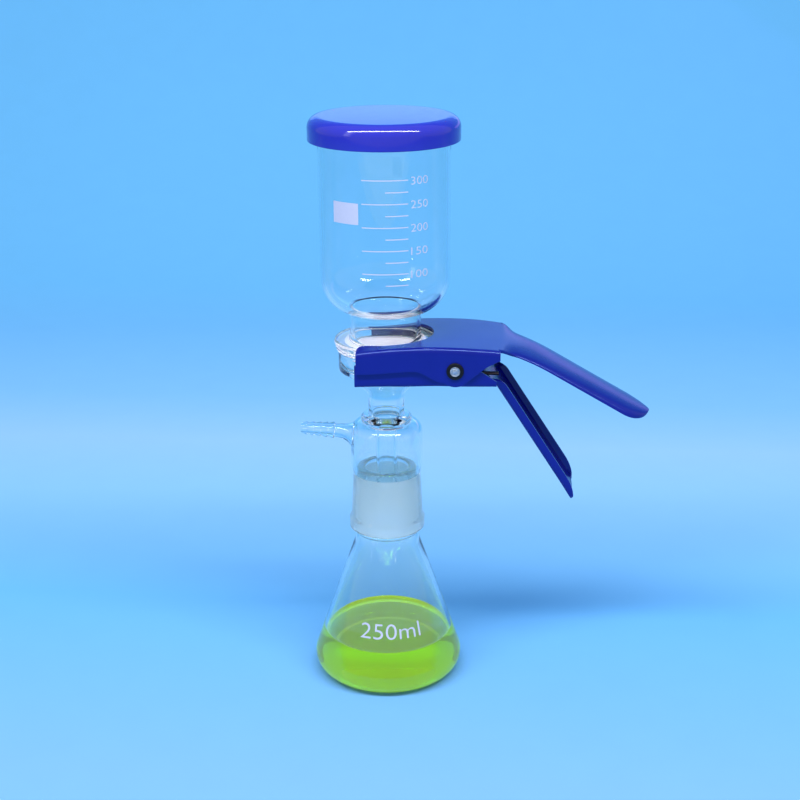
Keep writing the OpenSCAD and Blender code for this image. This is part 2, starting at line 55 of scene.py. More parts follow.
def linearColour(hexText):
    parts = [int(hexText[i:i + 2], 16) / 255 for i in (1, 3, 5)]
    return tuple(c / 12.92 if c <= 0.04045 else ((c + 0.055) / 1.055) ** 2.4 for c in parts) + (1.0,)


# Camera: a fairly long lens in front of the unit, looking down on it
cameraSet = {
    "place": (79.1, -811.2, 461.4),  # mm
    "turn": 5.0,  # degrees to the side of the handles
    "pitch": 19.38,  # degrees below level
    "roll": -0.303,
    "lens": 65.98,
}

# camera, lights and paper all stand turned by this much
studioTurn = Matrix.Rotation(math.radians(cameraSet["turn"]), 4, "Z")


def makeCamera():
    bpy.ops.object.camera_add()
    camera = bpy.context.object
    camera.name = "studioCamera"
    turn = studioTurn @ Matrix.Rotation(math.radians(90 - cameraSet["pitch"]), 4, "X")
    turn = turn @ Matrix.Rotation(math.radians(cameraSet["roll"]), 4, "Z")
    camera.matrix_world = Matrix.Translation(Vector(cameraSet["place"]) * mm) @ turn
    camera.data.lens = cameraSet["lens"]
    camera.data.clip_start = 0.01
    camera.data.clip_end = 20
    scene.camera = camera


# Small helpers for modelling
def selectOnly(piece):
    bpy.ops.object.select_all(action="DESELECT")
    piece.select_set(True)
    bpy.context.view_layer.objects.active = piece


def editAll(piece):
    selectOnly(piece)
    bpy.ops.object.mode_set(mode="EDIT")
    bpy.ops.mesh.select_all(action="SELECT")


def closeShell(piece, nearest=0.002):
    editAll(piece)
    bpy.ops.mesh.remove_doubles(threshold=nearest * mm)
    bpy.ops.mesh.normals_make_consistent(inside=False)
    bpy.ops.object.mode_set(mode="OBJECT")


def smoothPiece(piece, angle=35):
    selectOnly(piece)
    bpy.ops.object.shade_smooth_by_angle(angle=math.radians(angle))


def finishPiece(piece, name, material, slot, body, *nodes):
    piece.name = name
    piece.data.name = name
    piece.data.materials.clear()
    piece.data.materials.append(material)
    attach(piece, body)
    if nodes:
        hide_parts(*nodes)


def applyModifier(piece, kind, **settings):
    selectOnly(piece)
    modifier = piece.modifiers.new(kind.title(), kind)
    for key, value in settings.items():
        setattr(modifier, key, value)
    bpy.ops.object.modifier_apply(modifier=modifier.name)


def arcPoints(centre, radius, fromAngle, toAngle, steps=10):
    turns = [math.radians(fromAngle + (toAngle - fromAngle) * i / steps) for i in range(steps + 1)]
    return [(centre[0] + radius * math.cos(a), centre[1] + radius * math.sin(a)) for a in turns]


def swellPoints(r0, z0, r1, z1, steps=10):
    return [(r0 + (r1 - r0) * (1 - math.cos(math.pi * i / steps)) / 2, z0 + (z1 - z0) * i / steps)
            for i in range(steps + 1)]


def skinPoints(name, points, faces):
    # a piece from its points in metres and the faces between them
    mesh = bpy.data.meshes.new(name)
    mesh.from_pydata(points, [], faces)
    piece = bpy.data.objects.new(name, mesh)
    scene.collection.objects.link(piece)
    return piece


def drawLine(start, moves):
    # a plane merged to one vertex, which is put at its start and drawn out by each move; stays in edit mode
    bpy.ops.object.select_all(action="DESELECT")
    bpy.ops.mesh.primitive_plane_add(size=mm)
    piece = bpy.context.object
    bpy.ops.object.mode_set(mode="EDIT")
    bpy.ops.mesh.select_mode(type="VERT")
    bpy.ops.mesh.select_all(action="SELECT")
    bpy.ops.mesh.merge(type="CENTER")
    bpy.ops.transform.translate(value=start)
    for move in moves:
        bpy.ops.mesh.extrude_region_move(TRANSFORM_OT_translate={"value": move})
    return piece


def turnOutline(outline, steps=128):
    # half the outline, drawn in millimetres and spun round the glass axis
    moves = [((r1 - r0) * mm, 0, (z1 - z0) * mm) for (r0, z0), (r1, z1) in zip(outline, outline[1:])]
    piece = drawLine((outline[0][0] * mm, 0, outline[0][1] * mm), moves)
    if outline[0][0] > 0 and outline[-1][0] > 0:  # a ring: its outline is closed
        bpy.ops.object.mode_set(mode="OBJECT")
        last = len(piece.data.vertices) - 1
        for vertex in piece.data.vertices:
            vertex.select = vertex.index in (0, last)
        bpy.ops.object.mode_set(mode="EDIT")
        bpy.ops.mesh.edge_face_add()
    bpy.ops.mesh.select_all(action="SELECT")
    bpy.ops.mesh.spin(steps=steps, angle=2 * math.pi, center=(0, 0, 0), axis=(0, 0, 1))
    bpy.ops.object.mode_set(mode="OBJECT")
    closeShell(piece)
    smoothPiece(piece)
    return piece


# Small helper for materials: a node with its settings, its fixed inputs and its links
def addNode(tree, kind, settings=None, inputs=None, links=None):
    node = tree.nodes.new(kind)
    for key, value in (settings or {}).items():
        setattr(node, key, value)
    for key, value in (inputs or {}).items():
        node.inputs[key].default_value = value
    for key, source in (links or {}).items():
        tree.links.new(source, node.inputs[key])
    return node


def startMaterial(name):
    # a bare material, its tree, and the object's own coordinates for its patterns
    material = bpy.data.materials.new(name)
    material.use_nodes = True
    tree = material.node_tree
    tree.nodes.clear()
    return material, tree, addNode(tree, "ShaderNodeTexCoord").outputs["Object"]


def endMaterial(tree, shader, volume=None):
    output = addNode(tree, "ShaderNodeOutputMaterial", links={"Surface": shader})
    if volume is not None:
        tree.links.new(volume, output.inputs["Volume"])


def setStops(node, stops):
    elements = node.color_ramp.elements
    elements[0].position, elements[0].color = stops[0][0], linearColour(stops[0][1])
    elements[1].position, elements[1].color = stops[-1][0], linearColour(stops[-1][1])
    for place, colour in stops[1:-1]:
        elements.new(place).color = linearColour(colour)


glassIor = 1.474  # borosilicate 3.3


def blownGlass():
    # Borosilicate 3.3, blown and fire-polished: clear, with slow waves left by the flame
    settings = {"tint": "#F7FCFA", "clear": "#FFFFFF", "waveSize": 9.0, "waveDepth": 0.05}  # mm
    material, tree, place = startMaterial("borosilicateGlass")
    waves = addNode(tree, "ShaderNodeTexNoise",
                    inputs={"Scale": 1 / (settings["waveSize"] * mm), "Detail": 1.0},
                    links={"Vector": place})
    bump = addNode(tree, "ShaderNodeBump",
                   inputs={"Strength": 0.12, "Distance": settings["waveDepth"] * mm},
                   links={"Height": waves.outputs["Fac"]})
    tint = addNode(tree, "ShaderNodeMix", {"data_type": "RGBA"},
                   {6: linearColour(settings["tint"]), 7: linearColour(settings["clear"])},
                   {0: waves.outputs["Fac"]})
    glass = addNode(tree, "ShaderNodeBsdfPrincipled",
                    inputs={"Roughness": 0.0, "IOR": glassIor, "Transmission Weight": 1.0},
                    links={"Base Color": tint.outputs[2], "Normal": bump.outputs["Normal"]})
    endMaterial(tree, glass.outputs["BSDF"])
    return material


def groundGlass():
    # The same glass ground with fine grit: the taper is matt white and lets light through unevenly.
    # Real grit is finer than it can show, and the light that it scatters is given as a faint glow.
    settings = {"white": "#F2F8FC", "scatter": "#BCFFEE", "paintedGlow": 0.05, "gritSize": 0.35, "cloudSize": 7}
    material, tree, place = startMaterial("groundJointGlass")
    grit = addNode(tree, "ShaderNodeTexNoise",
                   inputs={"Scale": 1 / (settings["gritSize"] * mm), "Detail": 2.0},
                   links={"Vector": place})
    clouds = addNode(tree, "ShaderNodeTexNoise",
                     inputs={"Scale": 1 / (settings["cloudSize"] * mm), "Detail": 2.0},
                     links={"Vector": place})
    bump = addNode(tree, "ShaderNodeBump", inputs={"Strength": 0.25, "Distance": 0.05 * mm},
                   links={"Height": grit.outputs["Fac"]})
    rough = addNode(tree, "ShaderNodeMapRange", inputs={"To Min": 0.35, "To Max": 0.5},
                    links={"Value": clouds.outputs["Fac"]})
    clear = addNode(tree, "ShaderNodeMapRange", inputs={"To Min": 0.55, "To Max": 0.75},
                    links={"Value": clouds.outputs["Fac"]})
    glass = addNode(tree, "ShaderNodeBsdfPrincipled",
                    inputs={"Base Color": linearColour(settings["white"]), "IOR": glassIor,
                            "Emission Color": linearColour(settings["scatter"]),
                            "Emission Strength": settings["paintedGlow"]},
                    links={"Roughness": rough.outputs["Result"], "Normal": bump.outputs["Normal"],
                           "Transmission Weight": clear.outputs["Result"]})
    endMaterial(tree, glass.outputs["BSDF"])
    return material


def dyedFiltrate():
    # Water with a yellow-green dye: clear, and deep where it is thick. Its glow is painted light, a steady
    # emission of the dye's colour in place of the light it gives back under the lamps
    settings = {"dye": "#D4EE00", "deep": "#E2F400", "pale": "#DCF84C", "green": "#D0F034",
                "strength": 45.0, "paintedGlow": 0.12, "cloudSize": 16}
    material, tree, place = startMaterial("dyedWater")
    cloud = addNode(tree, "ShaderNodeTexNoise",
                    inputs={"Scale": 1 / (settings["cloudSize"] * mm), "Detail": 1.0},
                    links={"Vector": place})
    tint = addNode(tree, "ShaderNodeMix", {"data_type": "RGBA"},
                   {6: linearColour(settings["pale"]), 7: linearColour(settings["green"])},
                   {0: cloud.outputs["Fac"]})
    # painted light: the emission gives the water a steady glow of its own
    water = addNode(tree, "ShaderNodeBsdfPrincipled",
                    inputs={"Roughness": 0.0, "IOR": 1.333, "Transmission Weight": 0.95,
                            "Emission Color": linearColour(settings["deep"]),
                            "Emission Strength": settings["paintedGlow"]},
                    links={"Base Color": tint.outputs[2]})
    depth = addNode(tree, "ShaderNodeVolumeAbsorption",
                    inputs={"Color": linearColour(settings["dye"]), "Density": settings["strength"]})
    endMaterial(tree, water.outputs["BSDF"], depth.outputs["Volume"])
    return material


def grainFinish(name, tones, size, noise, shader, bump=None):
    # two tones mixed by a grain of this size in mm; bump is its strength and its depth in mm
    material, tree, place = startMaterial(name)
    grain = addNode(tree, "ShaderNodeTexNoise", inputs={"Scale": 1 / (size * mm), **noise},
                    links={"Vector": place})
    colour = addNode(tree, "ShaderNodeMix", {"data_type": "RGBA"},
                     {6: linearColour(tones[0]), 7: linearColour(tones[1])}, {0: grain.outputs["Fac"]})
    links = {"Base Color": colour.outputs[2]}
    if bump:
        relief = addNode(tree, "ShaderNodeBump", inputs={"Strength": bump[0], "Distance": bump[1] * mm},
                         links={"Height": grain.outputs["Fac"]})
        links["Normal"] = relief.outputs["Normal"]
    surface = addNode(tree, "ShaderNodeBsdfPrincipled", inputs=shader, links=links)
    endMaterial(tree, surface.outputs["BSDF"])
    return material


def whiteEnamel():
    # Ceramic ink, screen-printed and fired on: matt and opaque, with a fine uneven grain
    return grainFinish("firedEnamel", ("#A8ACC2", "#C2C4D6"), 0.5, {"Detail": 3.0},
                       {"Roughness": 0.45}, (0.2, 0.02))


def mouldedLidPlastic():
    # ABS, injection moulded in a polished mould: glossy, with faint flow marks and a slow sink wave
    settings = {"colour": "#202298", "flow": "#2426A2", "roughness": 0.09, "flowSize": 22, "waveSize": 4}
    material, tree, place = startMaterial("mouldedBlueAbs")
    flow = addNode(tree, "ShaderNodeTexNoise",
                   inputs={"Scale": 1 / (settings["flowSize"] * mm), "Detail": 2.0, "Distortion": 0.8},
                   links={"Vector": place})
    skin = addNode(tree, "ShaderNodeTexNoise",
                   inputs={"Scale": 1 / (settings["waveSize"] * mm), "Detail": 1.0},
                   links={"Vector": place})
    colour = addNode(tree, "ShaderNodeMix", {"data_type": "RGBA"},
                     {6: linearColour(settings["colour"]), 7: linearColour(settings["flow"])},
                     {0: flow.outputs["Fac"]})
    rough = addNode(tree, "ShaderNodeMapRange",
                    inputs={"To Min": settings["roughness"] - 0.04, "To Max": settings["roughness"] + 0.06},
                    links={"Value": skin.outputs["Fac"]})
    bump = addNode(tree, "ShaderNodeBump", inputs={"Strength": 0.04, "Distance": 0.05 * mm},
                   links={"Height": skin.outputs["Fac"]})
    plastic = addNode(tree, "ShaderNodeBsdfPrincipled",
                      inputs={"IOR": 1.54, "Subsurface Weight": 0.05, "Subsurface Scale": 1.5 * mm},
                      links={"Base Color": colour.outputs[2], "Roughness": rough.outputs["Result"],
                             "Normal": bump.outputs["Normal"]})
    endMaterial(tree, plastic.outputs["BSDF"])
    return material


def sprayedClampPaint():
    # Steel sheet, pressed, then sprayed and stoved: thick gloss enamel with orange peel and, on its
    # sharpest edges, a few dark chips
    settings = {"colour": "#0C1270", "thin": "#10147A", "chip": "#10123A", "sheen": "#A8D2FF",
                "peelSize": 3.2, "chipSize": 2.2, "cloudSize": 14}
    material, tree, place = startMaterial("stovedBluePaint")
    peel = addNode(tree, "ShaderNodeTexNoise",
                   inputs={"Scale": 1 / (settings["peelSize"] * mm), "Detail": 2.0},
                   links={"Vector": place})
    cloud = addNode(tree, "ShaderNodeTexNoise",
                    inputs={"Scale": 1 / (settings["cloudSize"] * mm), "Detail": 3.0},
                    links={"Vector": place})
    speck = addNode(tree, "ShaderNodeTexVoronoi", inputs={"Scale": 1 / (settings["chipSize"] * mm)},
                    links={"Vector": place})
    worn = addNode(tree, "ShaderNodeNewGeometry")
    edge = addNode(tree, "ShaderNodeMapRange", inputs={"From Min": 0.56, "From Max": 0.66},
                   links={"Value": worn.outputs["Pointiness"]})
    dots = addNode(tree, "ShaderNodeMapRange", inputs={"From Min": 0.11, "From Max": 0.07},
                   links={"Value": speck.outputs["Distance"]})
    chips = addNode(tree, "ShaderNodeMath", {"operation": "MULTIPLY"},
                    links={0: edge.outputs["Result"], 1: dots.outputs["Result"]})
    colour = addNode(tree, "ShaderNodeMix", {"data_type": "RGBA"},
                     {6: linearColour(settings["colour"]), 7: linearColour(settings["thin"])},
                     {0: cloud.outputs["Fac"]})
    chipped = addNode(tree, "ShaderNodeMix", {"data_type": "RGBA"}, {7: linearColour(settings["chip"])},
                      {0: chips.outputs["Value"], 6: colour.outputs[2]})
    bump = addNode(tree, "ShaderNodeBump", inputs={"Strength": 0.06, "Distance": 0.04 * mm},
                   links={"Height": peel.outputs["Fac"]})
    rough = addNode(tree, "ShaderNodeMapRange", inputs={"To Min": 0.15, "To Max": 0.24},
                    links={"Value": cloud.outputs["Fac"]})
    paint = addNode(tree, "ShaderNodeBsdfPrincipled",
                    inputs={"IOR": 1.5, "Specular Tint": linearColour(settings["sheen"])},
                    links={"Base Color": chipped.outputs[2], "Roughness": rough.outputs["Result"],
                           "Normal": bump.outputs["Normal"]})
    endMaterial(tree, paint.outputs["BSDF"])
    return material


def turnedSteel():
    # Zinc-plated steel, turned and sheared off: bright, with a rough, torn end face
    return grainFinish("platedSteel", ("#54565A", "#F4F2F0"), 1.1, {"Detail": 5.0, "Distortion": 1.5},
                       {"Metallic": 1.0, "Roughness": 0.3}, (0.9, 0.5))


def springSteel():
    # Oil-tempered spring wire, drawn: grey-brown, with a soft gloss and a fine mottle
    return grainFinish("temperedSpringWire", ("#5A4A42", "#A8948A"), 0.9, {"Detail": 3.0},
                       {"Metallic": 1.0, "Roughness": 0.36})


def blackRing():
    # Phosphated spring steel, oiled: black with a soft shine
    return grainFinish("phosphatedRing", ("#020204", "#0A0A0E"), 0.4, {"Detail": 3.0},
                       {"Roughness": 0.5, "Specular IOR Level": 0.25})


# painted light: the disc and the membrane are given a glow of their own, so that neither falls dark under
# the glass round them
paintedLightGlow = {"Emission Color": linearColour("#F4E8F8"), "Emission Strength": 0.48}


def sinteredGlass():
    # Glass beads fused in a mould: a matt white disc full of pores
    material, tree, place = startMaterial("sinteredGlass")
    beads = addNode(tree, "ShaderNodeTexVoronoi", inputs={"Scale": 1 / (0.6 * mm)},
                    links={"Vector": place})
    colour = addNode(tree, "ShaderNodeMix", {"data_type": "RGBA"},
                     {6: linearColour("#FFFFFF"), 7: linearColour("#E2E4EC")},
                     {0: beads.outputs["Distance"]})
    bump = addNode(tree, "ShaderNodeBump", inputs={"Strength": 0.4, "Distance": 0.15 * mm},
                   links={"Height": beads.outputs["Distance"]})
    # painted light: the disc glows by itself
    disc = addNode(tree, "ShaderNodeBsdfPrincipled", inputs={"Roughness": 0.8, **paintedLightGlow},
                   links={"Base Color": colour.outputs[2], "Normal": bump.outputs["Normal"]})
    endMaterial(tree, disc.outputs["BSDF"])
    return material


def celluloseMembrane():
    # Cast cellulose ester: a smooth, matt, very white sheet with a faint mottle
    # painted light: the sheet glows by itself
    return grainFinish("castMembrane", ("#F3F1F8", "#FFFFFF"), 2.5, {"Detail": 4.0},
                       {"Roughness": 0.7, **paintedLightGlow})


finishes = {
    "glass": blownGlass(), "ground": groundGlass(), "filtrate": dyedFiltrate(), "enamel": whiteEnamel(),
    "lid": mouldedLidPlastic(), "paint": sprayedClampPaint(), "steel": turnedSteel(),
    "spring": springSteel(), "ring": blackRing(), "frit": sinteredGlass(), "membrane": celluloseMembrane(),
}
print("finishes mixed")


# Ground joint: one in ten on the diameter, shared by the flask's neck and the socket over it
jointSet = {"radius": 20.0, "low": 95.0, "length": 35.0, "taper": 0.05, "gap": 0.03}
jointTop = jointSet["low"] + jointSet["length"]


def jointRadius(z):
    return jointSet["radius"] - (z - jointSet["low"]) * jointSet["taper"]


def groundFaces(piece, material, low, high, flat):
    # gives the ground material to the faces that the grinding wheel reached: the taper between
    # two heights and the flat face of the flange
    piece.data.materials.append(material)
    slot = len(piece.data.materials) - 1
    for face in piece.data.polygons:
        reach = math.hypot(face.center.x, face.center.y) / mm
        height = face.center.z / mm
        level = abs(face.normal.z)
        onTaper = abs(reach - jointRadius(height)) < 0.3 and low < height < high and level < 0.5
        onFlange = abs(height - flat) < 0.01 and level > 0.9
        if onTaper or onFlange:
            face.material_index = slot


# Conical flask
flaskSet = {
    "radius": 44.965, "corner": 11.0, "slope": 19.0, "wall": 2.2, "bore": 13.0,  # mm and degrees
    "rimRound": 1.6, "rim": 4.0, "swell": 4.0, "drop": 1.5,
    "kickUp": 1.6, "kick": ((0, 1), (10, 0.94), (20, 0.66), (26, 0.3), (31.0, 0)),  # radius and share
}
flaskFoot = flaskSet["radius"] - flaskSet["corner"]
flaskBend = (flaskFoot + flaskSet["corner"] * math.cos(math.radians(flaskSet["slope"])),
             flaskSet["corner"] * (1 + math.sin(math.radians(flaskSet["slope"]))))


def flaskRadius(z, inset=0.0):
    slope = math.radians(flaskSet["slope"])
    return flaskBend[0] - (z - flaskBend[1]) * math.tan(slope) - inset / math.cos(slope)


def floorPoints(lift):
    # the pushed-up floor from its middle to the ring that it stands on
    return [(reach, lift + flaskSet["kickUp"] * share) for reach, share in flaskSet["kick"]]


def makeFlask():
    s = flaskSet
    slope = math.radians(s["slope"])
    top = jointTop + s["rim"]
    coneTop = jointSet["low"] - s["swell"]
    outerRim = jointRadius(top) - s["rimRound"]
    boreStart = flaskBend[1] + (flaskBend[0] - s["wall"] / math.cos(slope) - s["bore"]) / math.tan(slope)
    outline = (floorPoints(0)
               + arcPoints((flaskFoot, s["corner"]), s["corner"], -90, s["slope"], 24)
               + [(flaskRadius(z), z) for z in (25, 35, 45, 55, 65, 75, 85)]
               + swellPoints(flaskRadius(coneTop), coneTop, jointRadius(jointSet["low"] - s["drop"]),
                             jointSet["low"] - s["drop"], 8)
               + [(jointRadius(jointSet["low"]), jointSet["low"]), (jointRadius(jointTop), jointTop)]
               + arcPoints((outerRim, top - s["rimRound"]), s["rimRound"], 0, 90, 8)
               + arcPoints((s["bore"] + s["rimRound"], top - s["rimRound"]), s["rimRound"], 90, 180, 8)
               + [(s["bore"], boreStart + 6), (s["bore"] + 0.15, boreStart + 1.5)]
               + [(flaskRadius(z, s["wall"]), z) for z in (boreStart - 2, 70, 60, 50, 40, 30)]
               + arcPoints((flaskFoot, s["corner"]), s["corner"] - s["wall"], s["slope"], -90, 20)
               + list(reversed(floorPoints(s["wall"]))))
    piece = turnOutline(outline)
    finishPiece(piece, "flaskGlass", finishes["glass"], "clear_glass", "unit", "flask")
    groundFaces(piece, finishes["ground"], jointSet["low"] - 0.2, jointTop, -1.0)  # it has no flange


# Filtrate in the flask: it wets the glass, so its skin lies a little way into the wall
filtrateSet = {
    "level": 26.5, "overlap": 0.25, "meniscus": 1.3, "reaches": (0.1, 0.4, 0.8, 1.3, 1.9, 2.6, 3.2),
}


def makeFiltrate():
    s, f = filtrateSet, flaskSet
    wall = f["wall"] - s["overlap"]
    brim = s["level"] + s["meniscus"]
    edge = flaskRadius(brim, wall)
    last = s["reaches"][-1]  # how far from the glass the meniscus is level again
    outline = (floorPoints(wall)
               + arcPoints((flaskFoot, f["corner"]), f["corner"] - wall, -90, f["slope"], 20)
               + [(edge, brim)]
               + [(edge - s["overlap"] - reach, s["level"] + s["meniscus"] * (1 - reach / last) ** 3)
                  for reach in s["reaches"]]
               + [(0, s["level"])])
    piece = turnOutline(outline)
    finishPiece(piece, "filtrateLiquid", finishes["filtrate"], "filtrate", "unit", "filtrate")


# Filter base: socket, bell, side arm, ring seal with its drip tube, cup and flange
baseSet = {
    "bell": 21.3, "wall": 1.9, "height": 32.5, "shoulder": 7.0, "waist": 7.0,
    "bead": 22.7, "beadHeight": 9.0, "beadRound": 1.3, "beadSwell": 3.0, "chamfer": 0.6,
    "seal": 15.1, "sealTube": 2.8, "sealRise": 1.5, "stem": 10.6, "stemLength": 15.0, "stemWall": 2.0,
    "drip": 6.3, "dripWall": 1.6, "dripLength": 50.0, "dripFillet": 3.0, "ductTaper": 7.0,
    "cupSide": 21.5, "cupHeight": 16.7, "cupLift": 1.0,
    "flange": 27.6, "flangeHeight": 12.8, "flangeRound": 1.6,
    "frit": 20.0, "fritHeight": 4.0, "fritPlay": 0.05, "ledge": 1.7,
}
bellTop = jointTop + baseSet["height"]
sealHeight = bellTop + baseSet["sealRise"]
stemTop = bellTop + baseSet["stemLength"]
baseFlangeLow = stemTop + baseSet["cupHeight"]
flangeHeight = baseFlangeLow + baseSet["flangeHeight"]
armSet = {
    "low": 9.0, "rise": 3.0, "reach": 51.0, "count": 5, "pitch": 4.0, "root": 4.9, "tip": 3.9, "step": 0.9,
    "bore": 2.2, "flare": 10.5, "flareTop": 6.0, "steps": 64,
}
barbRoot = armSet["reach"] - armSet["count"] * armSet["pitch"]


def bellSurface(z, inset):
    # outer radius of the bell at a height, drawn in by an inset
    s = baseSet
    turn = bellTop - s["shoulder"]
    if z <= turn:
        return s["bell"] - inset
    reach = s["shoulder"] - inset
    return s["bell"] - s["shoulder"] + math.sqrt(max(reach ** 2 - (z - turn) ** 2, 0.04))


def bellMeet(ring, phi, inset):
    # how far out along the arm's own axis a line at this radius and angle meets the bell
    rise = math.radians(armSet["rise"])
    start = bellTop - armSet["low"]
    along = baseSet["bell"]
    for _ in range(12):
        up, side = ring * math.sin(phi), ring * math.cos(phi)
        z = start + along * math.sin(rise) + up * math.cos(rise)
        x = math.sqrt(max(bellSurface(z, inset) ** 2 - side ** 2, 1.0))
        along = (x + up * math.sin(rise)) / math.cos(rise)
    return along


def armPoint(along, ring, phi):
    rise = math.radians(armSet["rise"])
    up, side = ring * math.sin(phi), ring * math.cos(phi)
    x = -(along * math.cos(rise) - up * math.sin(rise))
    z = bellTop - armSet["low"] + along * math.sin(rise) + up * math.cos(rise)
    return Vector((x, side, z)) * mm


def loftTube(rings):
    # rings of points from one end to the other, skinned, with both ends closed by a fan
    steps = len(rings[0])
    points = [p for ring in rings for p in ring]
    faces = []
    for low in range(0, (len(rings) - 1) * steps, steps):
        high = low + steps
        faces += [(low + i, low + (i + 1) % steps, high + (i + 1) % steps, high + i) for i in range(steps)]
    for ring, last in ((rings[0], 0), (rings[-1], (len(rings) - 1) * steps)):
        points.append(sum(ring, Vector()) / steps)
        faces += [(last + i, last + (i + 1) % steps, len(points) - 1) for i in range(steps)]
    piece = skinPoints("tube", [tuple(p) for p in points], faces)
    closeShell(piece)
    return piece


def flareRing(radius, root, share, phi, inset):
    # share runs from 0 on the bell to 1 at the barb's root, along a quarter of an ellipse
    turn = share * math.pi / 2
    ring = radius - (radius - root) * math.sin(turn)
    return armPoint(barbRoot - (barbRoot - bellMeet(radius, phi, inset)) * math.cos(turn), ring, phi)


def makeArm(inset, root, cut):
    # the arm's outside, or with an inset the tool that hollows its flare
    s = armSet
    angles = [2 * math.pi * i / s["steps"] for i in range(s["steps"])]
    wide = [s["flare"] - (s["flare"] - s["flareTop"]) * max(0.0, math.sin(a)) ** 1.5 - inset
            for a in angles]  # the flare is lower above than below
    rings = []
    if cut:  # the hollowing tool starts well inside the bell
        rings.append([armPoint(14.0, root + 0.6, a) for a in angles])
        rings.append([armPoint(bellMeet(w, a, baseSet["wall"]) - 1.5, w, a) for w, a in zip(wide, angles)])
        deep = baseSet["wall"]
    else:
        rings.append([armPoint(bellMeet(w, a, 0.9), w, a) for w, a in zip(wide, angles)])
        deep = 0.05
    rings += [[flareRing(w, root, i / 14, a, deep) for w, a in zip(wide, angles)] for i in range(15)]
    if cut:
        rings.append([armPoint(s["reach"] + 2, root, a) for a in angles])
        return loftTube(rings)
    for i in range(s["count"]):
        crest = s["root"] + (s["tip"] - s["root"]) * i / (s["count"] - 1)
        low = barbRoot + i * s["pitch"]
        for along, ring in ((0.3, crest - 0.22), (0.5, crest - 0.03), (0.8, crest),
                            (3.6, crest - s["step"] + 0.04), (4.0, crest - s["step"] - 0.05)):
            rings.append([armPoint(low + along, ring, a) for a in angles])
    rings.append([armPoint(s["reach"], s["tip"] - s["step"] - 0.3, a) for a in angles])
    return loftTube(rings)


def baseOutline():
    s, j = baseSet, jointSet
    low, bead = j["low"], j["low"] + s["beadHeight"]
    outside = ([(j["radius"] + s["chamfer"], low)]
               + arcPoints((s["bead"] - s["beadRound"], low + s["beadRound"]), s["beadRound"], -90, 0, 8)
               + swellPoints(s["bead"], bead - s["beadSwell"], jointRadius(bead) + s["wall"], bead, 8)
               + [(jointRadius(z) + s["wall"], z) for z in (110, 120)]
               + swellPoints(jointRadius(jointTop) + s["wall"], jointTop, s["bell"],
                             jointTop + s["waist"], 8)
               + [(s["bell"], z) for z in (142, 148, 153)]
               + arcPoints((s["bell"] - s["shoulder"], bellTop - s["shoulder"]), s["shoulder"], 0, 80, 12)
               + arcPoints((s["seal"] - s["sealTube"], sealHeight), s["sealTube"], -35, 90, 12)
               + [(s["stem"] + 0.5, sealHeight + s["sealTube"] + 0.15),
                  (s["stem"] + 0.12, sealHeight + s["sealTube"] + 0.5),
                  (s["stem"], sealHeight + s["sealTube"] + 1.1), (s["stem"] - 0.1, stemTop - 4)]
               + swellPoints(s["stem"], stemTop, s["cupSide"], baseFlangeLow - 0.5, 18)
               + [(s["cupSide"] + 0.5, baseFlangeLow)]
               + arcPoints((s["flange"] - s["flangeRound"], baseFlangeLow + s["flangeRound"]),
                           s["flangeRound"], -90, 0, 8)
               + arcPoints((s["flange"] - 0.9, flangeHeight - 0.9), 0.9, 0, 90, 5))
    seat = s["frit"] + s["fritPlay"]
    ledge = flangeHeight - s["fritHeight"] - s["fritPlay"]
    drop = s["drip"] - s["dripWall"]
    tip = bellTop - s["dripLength"]
    inside = ([(seat, flangeHeight), (seat, ledge), (s["frit"] - s["ledge"], ledge)]
              + swellPoints(s["frit"] - s["ledge"], baseFlangeLow + s["cupLift"], s["stem"] - s["stemWall"],
                            stemTop + s["cupLift"], 18)
              + swellPoints(s["stem"] - s["stemWall"], sealHeight + 1, drop,
                            sealHeight + 1 - s["ductTaper"], 8)
              + [(drop, 140), (drop, tip + 0.4), (drop + 0.5, tip), (s["drip"] - 0.5, tip),
                 (s["drip"], tip + 0.5), (s["drip"], 140)]
              + arcPoints((s["drip"] + s["dripFillet"], bellTop - s["wall"] - s["dripFillet"]),
                          s["dripFillet"], 180, 90, 8)
              + arcPoints((s["bell"] - s["shoulder"], bellTop - s["shoulder"]), s["shoulder"] - s["wall"],
                          90, 0, 10)
              + swellPoints(s["bell"] - s["wall"], jointTop + s["waist"], jointRadius(jointTop) + j["gap"],
                            jointTop, 8)
              + [(jointRadius(low + s["chamfer"]) + j["gap"], low + s["chamfer"])])
    return outside + inside


def makeBase():
    piece = turnOutline(baseOutline())
    arm = makeArm(0.0, armSet["root"] - armSet["step"], False)
    hollow = makeArm(baseSet["wall"], armSet["bore"], True)
    applyModifier(piece, "BOOLEAN", operation="UNION", object=arm, solver="EXACT")
    applyModifier(piece, "BOOLEAN", operation="DIFFERENCE", object=hollow, solver="EXACT")
    for tool in (arm, hollow):
        bpy.data.objects.remove(tool)
    closeShell(piece)
    smoothPiece(piece, 32)
    finishPiece(piece, "filterBaseGlass", finishes["glass"], "clear_glass", "unit", "vacuum_adapter")
    groundFaces(piece, finishes["ground"], jointSet["low"], jointTop, flangeHeight)


def makeFrit():
    s = baseSet
    low = flangeHeight - s["fritHeight"]
    outline = [(0, low), (s["frit"] - 0.3, low), (s["frit"], low + 0.3),
               (s["frit"], flangeHeight - 0.25), (s["frit"] - 0.25, flangeHeight), (0, flangeHeight)]
    piece = turnOutline(outline, 96)
    finishPiece(piece, "sinteredDisc", finishes["frit"], "sintered_glass", "unit", "support_frit")


